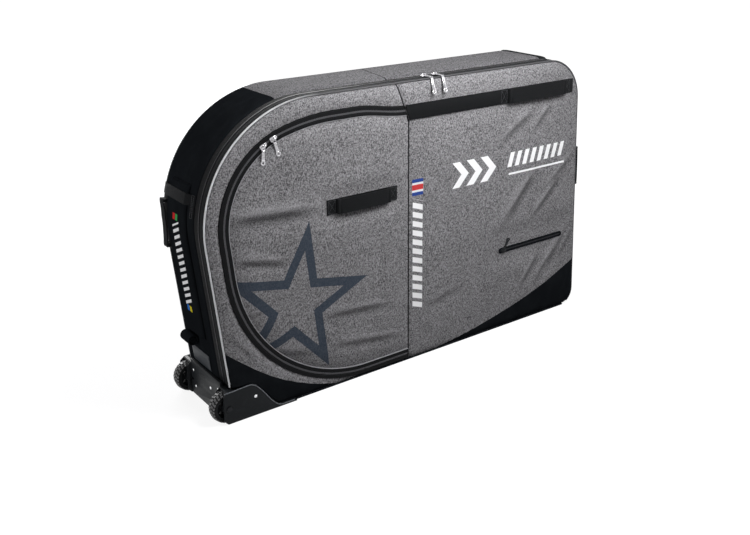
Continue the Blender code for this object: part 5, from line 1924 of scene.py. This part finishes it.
@dataclass(frozen=True)
class Wheel:
    """One wheel: a rubber tyre with slanted lugs, and its spoked hub."""

    name: str
    lugs: int = 26
    lug_rise: float = 0.0016
    lug_length: float = 0.0058
    lug_slant: float = 0.0034
    tread_drop: float = 0.0022
    shoulder: float = 0.0042
    segments: int = 72

    def build(self, palette: Palette) -> None:
        """Builds the tyre from its solid's box, and dresses the hub.

        Args:
            palette: The bag's materials.
        """
        low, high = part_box(self.name + "_tyre")
        centre = (low + high) / 2
        radius = (high.x - low.x) / 2
        inner = radius - 0.0099
        crown = radius - self.tread_drop
        profile = [
            (inner, low.y + 0.0006), (inner + 0.0030, low.y), (radius - 0.0062, low.y + 0.0002),
            (radius - 0.0044, low.y + 0.0010), (crown - 0.0008, low.y + self.shoulder * 0.72),
            (crown, low.y + self.shoulder + 0.0006),
        ]
        profile += [(reach, 2 * centre.y - y) for reach, y in reversed(profile)]
        tyre = Shape()
        tyre.lathe(profile, centre, self.segments)
        Piece(self.name + "_tyre_rubber", self.name + "_wheel", palette.rubber, "rubber_tread",
              (self.name + "_tyre",)).put(tyre)
        tread = Shape()
        self.tread(tread, centre, crown, high.y - low.y)
        Piece(self.name + "_tyre_lugs", self.name + "_wheel", palette.lugs, "rubber_tread").put(tread)
        hub = Shape.of_node(self.name + "_hub")
        hub.bevelled(hub.mesh.faces, 0.0005)
        Piece(self.name + "_hub_moulding", self.name + "_wheel", palette.plastic, "moulded_plastic",
              (self.name + "_hub",)).put(hub)

    def tread(self, shape: Shape, centre: Vector, crown: float, width: float) -> None:
        """Sets two rows of slanted lugs round the tyre, the rows half a step apart.

        Args:
            shape: What takes them.
            centre: The tyre's middle.
            crown: Its radius.
            width: Its width.
        """
        half = width / 2 - 0.0006
        for index in range(self.lugs):
            for row in (-1, 1):
                angle = FULL_TURN * (index + 0.25 * row) / self.lugs
                out = Vector((math.cos(angle), 0, math.sin(angle)))
                along = Vector((-math.sin(angle), 0, math.cos(angle)))
                base = centre + out * (crown - 0.0012)
                points = []
                for y, lean in ((0.0004, 0.0), (half, self.lug_slant)):
                    pair = [lean - self.lug_length / 2, lean + self.lug_length / 2]
                    for shift in pair if not points else reversed(pair):
                        drop = 0.0028 if lean else 0.0
                        points.append(base + along * shift + Vector((0, row * y, 0)) - out * drop)
                shape.plate(points, out * (self.lug_rise + 0.0012), 0.0004, 1)


# Handles

@dataclass(frozen=True)
class Handle:
    """A handle of webbing: a sewn strap with two anchors, and the grip raised between them."""

    base: str
    grip: str
    body: str
    grip_body: str
    along: Axis
    out: Vector
    bevel: float = 0.0006
    cell: float = 0.007
    bow: float = 0.0035
    low_end: float | None = None
    stitching: Stitching = Stitching()

    def build(self, webbing: bpy.types.Material) -> None:
        """Builds the strap and the grip from copies of their solids.

        Args:
            webbing: The finish of both.
        """
        shape = Shape.of_node(self.base)
        if self.low_end is not None:
            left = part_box(self.base)[0].x
            ends = [vert for vert in shape.mesh.verts if vert.co.x < left + self.bevel]
            bmesh.ops.translate(shape.mesh, verts=ends, vec=(self.low_end - left, 0, 0))
            shape.move(PADDING.slipped)
        shape.bevelled(shape.mesh.faces, self.bevel)
        Piece(self.base + "_strap", self.body, webbing, "black_webbing", (self.base,)).put(shape)
        grip = Shape.of_node(self.grip)
        low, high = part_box(self.grip)
        axis = self.along.value
        grip.bevelled(grip.mesh.faces, self.bevel, 1)
        grip.grid(self.along, self.cell)

        def place(co: Vector) -> Vector:
            """Bows the grip outwards along its length."""
            share = clamped((co[axis] - low[axis]) / (high[axis] - low[axis]))
            return co + self.out * (self.bow * math.sin(math.pi * share) ** 0.8)

        grip.move(place)
        Piece(self.grip + "_webbing", self.grip_body, webbing, "black_webbing", (self.grip,)).put(grip)

    def sew(self, thread: bpy.types.Material, boxes: Sequence[tuple[Point, Point]], face_y: float) -> None:
        """Sews boxes with crosses on the face, each between two (x, z) corners.

        Args:
            thread: The stitches' finish.
            boxes: Their corners.
            face_y: The depth of the cloth.
        """
        shape = Shape()
        out = Vector((0, -1, 0))
        for (left, low), (right, high) in boxes:
            plan = ((left, low), (right, low), (right, high), (left, high))
            corners = [Vector((x, face_y, z)) for x, z in plan]
            self.stitching.crossed_box(shape, corners, out)
        Piece(self.base + "_stitches", self.body, thread, "black_webbing").put(shape)


# Zip sliders

@dataclass(frozen=True)
class Slider:
    """A zip slider with its bridge, its wire link and its pull."""

    name: str
    travel: Vector
    out: Vector
    hang: Vector
    reach: float
    pull_length: float
    dark: bool = False
    length: float = 0.0195
    width: float = 0.0122
    nose_width: float = 0.0084
    rise: float = 0.0025
    height: float = 0.0036
    seat: float = 0.0003
    wire: float = 0.00125
    bridge_radius: float = 0.0015
    bridge_half: float = 0.0062
    link_half: float = 0.0039
    pull_width: float = 0.0128
    shaft_width: float = 0.0070
    eye_width: float = 0.0050
    pull_thickness: float = 0.0023
    hole_radius: float = 0.0027

    def build(self, palette: Palette) -> None:
        """Builds the slider and the pull where their solids are.

        Args:
            palette: The bag's materials.
        """
        joint = next(j for j in frame["joints"] if j["name"] == self.name + "_pull_swing")
        pin = Vector(joint["pos_m"])
        way = self.out.cross(Vector(joint["axis"])).normalized()
        seat = pin - way * self.reach - self.out * self.rise
        finish = palette.plastic if self.dark else palette.nickel
        shape = Shape()
        self.slider(shape, seat)
        self.link(shape, seat, way)
        Piece(self.name + "_slider_metal", self.name + "_slider_body", finish, "nickel",
              (self.name + "_slider",), angle=METAL_ANGLE).put(shape)
        pull = Shape()
        self.pull(pull, pin)
        Piece(self.name + "_pull_metal", self.name + "_pull_body", finish, "nickel",
              (self.name + "_pull",), angle=METAL_ANGLE).put(pull)

    def slider(self, shape: Shape, seat: Vector) -> None:
        """The slider's crown with its two flanges, and the bridge over it.

        Args:
            shape: What takes it.
            seat: The middle of its underside.
        """
        place = axes_at(seat, self.travel, self.out)
        half, side, nose = self.length / 2, self.width / 2, self.nose_width / 2
        plan = [(-half, -nose * 0.6), (-half * 0.86, -nose), (0.0, -side), (half * 0.8, -side),
                (half, -side * 0.7)]
        plan += [(x, -y) for x, y in reversed(plan)]
        points = [place @ Vector((x, y, self.seat)) for x, y in plan]
        shape.plate(points, self.out * (self.height - self.seat), 0.0007)
        waist = [(-half * 0.7, -nose * 0.45), (half * 0.6, -side * 0.42)]
        waist += [(x, -y) for x, y in reversed(waist)]
        points = [place @ Vector((x, y, self.height)) for x, y in waist]
        shape.plate(points, self.out * 0.0007, 0.0003)
        arch = []
        for step in range(13):
            angle = math.pi * step / 12
            rise = self.height - 0.0006 + 0.0036 * math.sin(angle)
            arch.append(place @ Vector((-self.bridge_half * math.cos(angle), 0, rise)))
        shape.tube(arch, self.bridge_radius, 10)

    def link(self, shape: Shape, seat: Vector, way: Vector) -> None:
        """The wire link from under the bridge to the pull's pin.

        Args:
            shape: What takes it.
            seat: The middle of the slider's underside.
            way: From there to the pin.
        """
        place = axes_at(seat + self.out * self.rise, way, self.out)
        near, far, half, corner = -0.0018, self.reach, self.link_half, 0.0016
        points = []
        for x, y, first in ((far - corner, half - corner, 0), (near + corner, half - corner, 1),
                            (near + corner, corner - half, 2), (far - corner, corner - half, 3)):
            for step in range(5):
                angle = math.pi / 2 * (first + step / 4)
                spot = Vector((x + corner * math.cos(angle), y + corner * math.sin(angle), 0.0006))
                points.append(place @ spot)
        shape.tube(points, self.wire, 8, closed=True)

    def pull(self, shape: Shape, pin: Vector) -> None:
        """The pull: a ring round the pin, a slim shaft and a broad end with a hole.

        Args:
            shape: What takes it.
            pin: The middle of its pin.
        """
        sideways = self.hang.cross(self.out) if abs(self.hang.dot(self.out)) < 0.1 else Vector((1, 0, 0))
        outward = sideways.cross(self.hang).normalized()
        place = axes_at(pin, self.hang, outward)
        thick = self.pull_thickness
        eye = self.eye_width / 2
        ring = [(0.0015, -eye), (0.0015, eye), (0.0029, eye), (0.0029, -eye)]
        points = [place @ Vector((radius, across, 0)) for radius, across in ring]
        shape.turned(points, pin, outward.cross(self.hang), 20)
        wide = self.pull_width / 2
        end = self.pull_length - wide
        slim = self.shaft_width / 2
        shaft = [(0.0022, -slim), (end * 0.55, -slim * 1.15), (end - wide * 0.52, -wide * 0.74)]
        shaft += [(x, -y) for x, y in reversed(shaft)]
        points = [place @ Vector((x, y, -thick / 2)) for x, y in shaft]
        shape.plate(points, outward * thick, 0.0005)
        broad = place @ Matrix.Translation((end, 0, 0))
        half = thick / 2 + 0.0002
        hole = self.hole_radius
        hoop = [(hole, 0.0003 - half), (hole + 0.0003, -half), (wide - 0.0004, -half), (wide, 0.0004 - half)]
        hoop += [(radius, -height) for radius, height in reversed(hoop)]
        points = [broad @ Vector((radius, 0, height)) for radius, height in hoop]
        shape.turned(points, broad.translation, outward, 28)


# Small pocket, bottom and inside

@dataclass(frozen=True)
class SmallPocket:
    """The small outer pocket's zip: a strip with round ends, a welt round it and its chain."""

    teeth: Teeth = Teeth(pitch=0.0026, length=0.0022, width=0.0015, height=0.0007)
    welt: float = 0.0011

    def build(self, palette: Palette) -> None:
        """Builds the strip, its welt and both rows of teeth.

        Args:
            palette: The bag's materials.
        """
        low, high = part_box("pocket_zip")
        middle = (low.z + high.z) / 2
        radius = (high.z - low.z) / 2
        shape = Shape()
        points = self.stadium(low.x, high.x, middle, radius + 0.0008, high.y)
        shape.plate(points, Vector((0, low.y - high.y, 0)), 0.0003, 1)
        rim = self.stadium(low.x, high.x, middle, radius + 0.0008, (low.y + high.y) / 2)
        shape.tube(rim, self.welt, 8, closed=True)
        Piece("pocket_zip_cloth", "front_cover", palette.black, "zip_tape", ("pocket_zip",)).put(shape)
        chain = Shape()
        line = Outline([Corner(-2.0, middle, 0.0001), Corner(2.0, middle, 0.0001), Corner(0.0, 3.0, 0.0001)])
        start = low.x + 2.0 + 0.006
        for side in (1, -1):
            root = Vector((0.0, low.y - 0.0003, side * 0.0006))
            self.teeth.add(chain, line, start, start + (high.x - low.x) - 0.012, root, side, False)
        Piece("pocket_zip_teeth", "front_cover", palette.teeth, "zip_tape").put(chain)

    @staticmethod
    def stadium(left: float, right: float, middle: float, radius: float, y: float) -> list[Vector]:
        """A closed outline with two straight sides and two round ends.

        Args:
            left, right: Its ends.
            middle: Its height's middle.
            radius: Of its ends.
            y: Its depth.

        Returns:
            Its points in order.
        """
        points = []
        for centre, first in ((right - radius, -math.pi / 2), (left + radius, math.pi / 2)):
            for step in range(13):
                angle = first + math.pi * step / 12
                x, z = centre + radius * math.cos(angle), middle + radius * math.sin(angle)
                points.append(Vector((x, y, z)))
        return points


@dataclass(frozen=True)
class Inside:
    """The bottom, and what shows when the cover or the flap is open."""

    def build(self, palette: Palette) -> None:
        """Dresses copies of the plain solids with rounded edges.

        Args:
            palette: The bag's materials.
        """
        rows = (
            ("bottom_panel", "bag_body", palette.black, "black_fabric", 0.0008),
            ("wheel_pocket_liner", "front_cover", palette.lining, "lining", 0.0008),
            ("base_board", "bag_body", palette.lining, "lining", 0.0010),
            ("left_tie_strap", "bag_body", palette.webbing_cross, "black_webbing", 0.0005),
            ("right_tie_strap", "bag_body", palette.webbing_cross, "black_webbing", 0.0005),
            ("left_tie_buckle", "bag_body", palette.plastic, "moulded_plastic", 0.0012),
            ("right_tie_buckle", "bag_body", palette.plastic, "moulded_plastic", 0.0012),
        )
        for node, body, finish, slot, bevel in rows:
            shape = Shape.of_node(node)
            shape.bevelled(shape.mesh.faces, bevel)
            Piece(node + "_dressed", body, finish, slot, (node,)).put(shape)


# Studio

@dataclass(frozen=True)
class Studio:
    """The camera at the photograph's place, soft lamps and a pale floor."""

    width: int = 750
    height: int = 535
    focal: float = 954.25
    centre: Point = (402.0, 180.0)
    place: tuple[float, float, float] = (-1.5295, -2.0474, 1.2603)
    yaw: float = math.radians(37.339)
    pitch: float = math.radians(16.666)
    sensor: float = 36.0
    floor_size: float = 60.0
    floor_near: float = 0.9
    floor_far: float = 2.4
    floor_glow: float = 0.86
    fill: float = 0.09

    def camera(self) -> None:
        """Sets the camera, level across, with the small shift of the photograph's framing."""
        data = bpy.data.cameras.new("camera")
        data.sensor_width = self.sensor
        data.lens = self.focal / self.width * self.sensor
        data.shift_x = (self.width / 2 - self.centre[0]) / self.width
        data.shift_y = (self.centre[1] - self.height / 2) / self.width
        made = bpy.data.objects.new("camera", data)
        made.location = self.place
        made.rotation_euler = (math.pi / 2 - self.pitch, 0, -self.yaw)
        bpy.context.scene.collection.objects.link(made)
        bpy.context.scene.camera = made

    def lamp(self, name: str, place: Vector, target: Vector, size: float, power: float) -> None:
        """Adds a soft square lamp that looks at a point.

        Args:
            name: The lamp's name.
            place, target: Where it is and what it looks at.
            size, power: Its side and its watts.
        """
        data = bpy.data.lights.new(name, "AREA")
        data.size = size
        data.energy = power
        made = bpy.data.objects.new(name, data)
        made.visible_camera = False
        made.location = place
        made.rotation_mode = "QUATERNION"
        made.rotation_quaternion = (target - place).to_track_quat("-Z", "Y")
        bpy.context.scene.collection.objects.link(made)

    def world(self) -> None:
        """A white surround for the camera and for reflections, and a soft grey light for the rest."""
        made = bpy.data.worlds.new("studio")
        made.use_nodes = True
        nodes = Nodes(made.node_tree)
        rays = nodes.node("ShaderNodeLightPath")
        camera, glossy, through = (
            Value(nodes, rays.outputs[f"Is {kind} Ray"]) for kind in ("Camera", "Glossy", "Transmission"))
        seen = nodes.maths("MAXIMUM", camera, nodes.maths("MAXIMUM", glossy, through))
        background = nodes.tree.nodes["Background"]
        nodes.feed(background.inputs["Strength"], seen * (1 - self.fill) + self.fill)
        nodes.feed(background.inputs["Color"], (1.0, 1.0, 1.0))
        bpy.context.scene.world = made

    def floor(self) -> None:
        """A broad pale floor that keeps the bag's shadow."""
        mesh = bmesh.new()
        bmesh.ops.create_grid(mesh, x_segments=1, y_segments=1, size=self.floor_size / 2)
        data = bpy.data.meshes.new("floor")
        mesh.to_mesh(data)
        mesh.free()
        shader = Shader("floor_paint")
        rays = shader.node("ShaderNodeLightPath")
        camera = Value(shader, rays.outputs["Is Camera Ray"])
        glossy = Value(shader, rays.outputs["Is Glossy Ray"])
        x, y, _ = shader.place()
        far = shader.contrast(shader.maths("SQRT", x * x + y * y), self.floor_near, self.floor_far)
        seen = shader.maths("MAXIMUM", camera, glossy)
        glow = seen * (far * (1 - self.floor_glow) + self.floor_glow)
        shade = shader.blend(glow, (0.0, 0.0, 0.0), (1.0, 1.0, 1.0))
        shader.set(Base_Color=srgb(125, 125, 126), Roughness=0.9, Specular_IOR_Level=0.0,
                   Emission_Color=shade, Emission_Strength=1.0)
        data.materials.append(shader.material)
        made = bpy.data.objects.new("floor", data)
        bpy.context.scene.collection.objects.link(made)

    def build(self) -> None:
        """Sets up the whole studio."""
        scene = bpy.context.scene
        scene.view_settings.view_transform = "Standard"
        self.camera()
        self.world()
        self.floor()
        middle = Vector((0, 0, 0.35))
        self.lamp("key", Vector((0.12, -0.78, 1.40)), Vector((0.05, -0.12, 0.55)), 0.5, 17.5)
        self.lamp("top", Vector((0.3, 0.4, 4.2)), middle, 3.5, 2)
        self.lamp("right", Vector((3.4, -1.2, 1.6)), middle, 2.5, 50)
        self.lamp("left", Vector((-3.6, -0.6, 1.5)), middle, 2.5, 60)
        self.lamp("back", Vector((0.6, 3.6, 1.3)), middle, 3.0, 190)


@dataclass(frozen=True)
class Carried:
    """Solids whose own shape is right, which only take a finish."""

    def build(self, palette: Palette) -> None:
        """Gives each of them its material.

        Args:
            palette: The bag's materials.
        """
        finishes = {
            "black_fabric": palette.black,
            "grey_fabric": palette.grey,
            "black_webbing": palette.webbing_level,
            "zip_tape": palette.teeth,
            "lining": palette.lining,
            "moulded_plastic": palette.plastic,
            "rubber_tread": palette.rubber,
            "steel": palette.black_steel,
            "nickel": palette.nickel,
            "piping": palette.piping,
        }
        slots = {part["node"]: part["material_slot"] for part in frame["record"]["subparts"]}
        for name, made in frame["nodes"].items():
            made.data.materials.clear()
            made.data.materials.append(finishes[slots[name]])


def make_handles(palette: Palette) -> None:
    """Builds the four handles and sews the two on the front.

    Args:
        palette: The bag's materials.
    """
    front = Vector((0, -1, 0))
    left, right = Vector((-1, 0, 0)), Vector((1, 0, 0))
    carry = Handle("carry_handle_base", "carry_handle_grip", "pocket_flap", "carry_grip_body", Axis.X, front)
    band = Handle("webbing_band", "band_grip", "front_cover", "band_grip_body", Axis.X, front,
                  low_end=SEAM_X + 0.0022)
    wheel = Handle("wheel_end_handle_base", "wheel_end_grip", "bag_body", "wheel_end_grip_body", Axis.Z,
                   left, bow=-0.0055)
    plain = Handle("plain_end_handle_base", "plain_end_grip", "front_cover", "plain_end_grip_body", Axis.Z,
                   right, bow=0.0008)
    for handle in (carry, band):
        handle.build(palette.webbing_level)
    for handle in (wheel, plain):
        handle.build(palette.webbing_upright)
    edge, gap, tail = 0.003, 0.008, 0.027
    for handle in (carry, band):
        low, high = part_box(handle.base)
        grip_low, grip_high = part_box(handle.grip)
        boxes = []
        for start in (grip_low.x - gap - tail, grip_high.x + gap):
            boxes.append(((start + edge, low.z + edge), (start + tail - edge, high.z - edge)))
        handle.sew(palette.thread, boxes, -FACE_Y - WEBBING_FACE)


def make_sliders(palette: Palette) -> None:
    """Builds the five zip sliders.

    Args:
        palette: The bag's materials.
    """
    front, up = Vector((0, -1, 0)), Vector((0, 0, 1))
    along = Vector((1, 0, 0))
    lean = math.radians(18)
    hang = Vector((0, -math.sin(lean), -math.cos(lean)))
    for name in ("main_left", "main_right"):
        Slider(name, along, up, hang, 0.034, 0.046).build(palette)
    for name, angle, tilt in (("flap_left", 31.6, -4), ("flap_right", 24, 17)):
        turn, swing = math.radians(angle), math.radians(tilt)
        travel = Vector((-math.cos(turn), 0, -math.sin(turn)))
        way = Vector((math.sin(swing), 0, -math.cos(swing)))
        Slider(name, travel, front, way, 0.0115, 0.036).build(palette)
    swing = math.radians(150)
    way = Vector((math.sin(swing), 0, -math.cos(swing)))
    Slider("pocket", along, front, way, 0.0115, 0.029, dark=True).build(palette)


def main() -> None:
    """Builds the bag's dress in order and sets up the studio."""
    logging.basicConfig(level=logging.INFO, format="%(name)s: %(message)s")
    Studio().build()
    palette = Palette()
    Carried().build(palette)
    Faces().build(palette)
    Gusset().build(palette)
    main_tapes = (
        Tape("rim_tape", (-0.1045, -0.0935, -0.0915)).make(),
        Tape("body_tape", (-0.0600, -0.0715, -0.0735)).make(),
    )
    MainZip().build(palette, main_tapes)
    flap_tapes = (
        Tape("flap_tape", (0.0060, 0.0112), edge=0.0135).make(),
        Tape("cover_tape", (-0.0060, -0.0112)).make(),
    )
    FlapZip().build(palette, flap_tapes)
    SeamPiping().build(palette)
    WheelEnd().build(palette)
    Housing().build(palette)
    for name in ("front", "rear"):
        Wheel(name).build(palette)
    make_handles(palette)
    make_sliders(palette)
    SmallPocket().build(palette)
    Inside().build(palette)


if __name__ == "__main__":
    main()
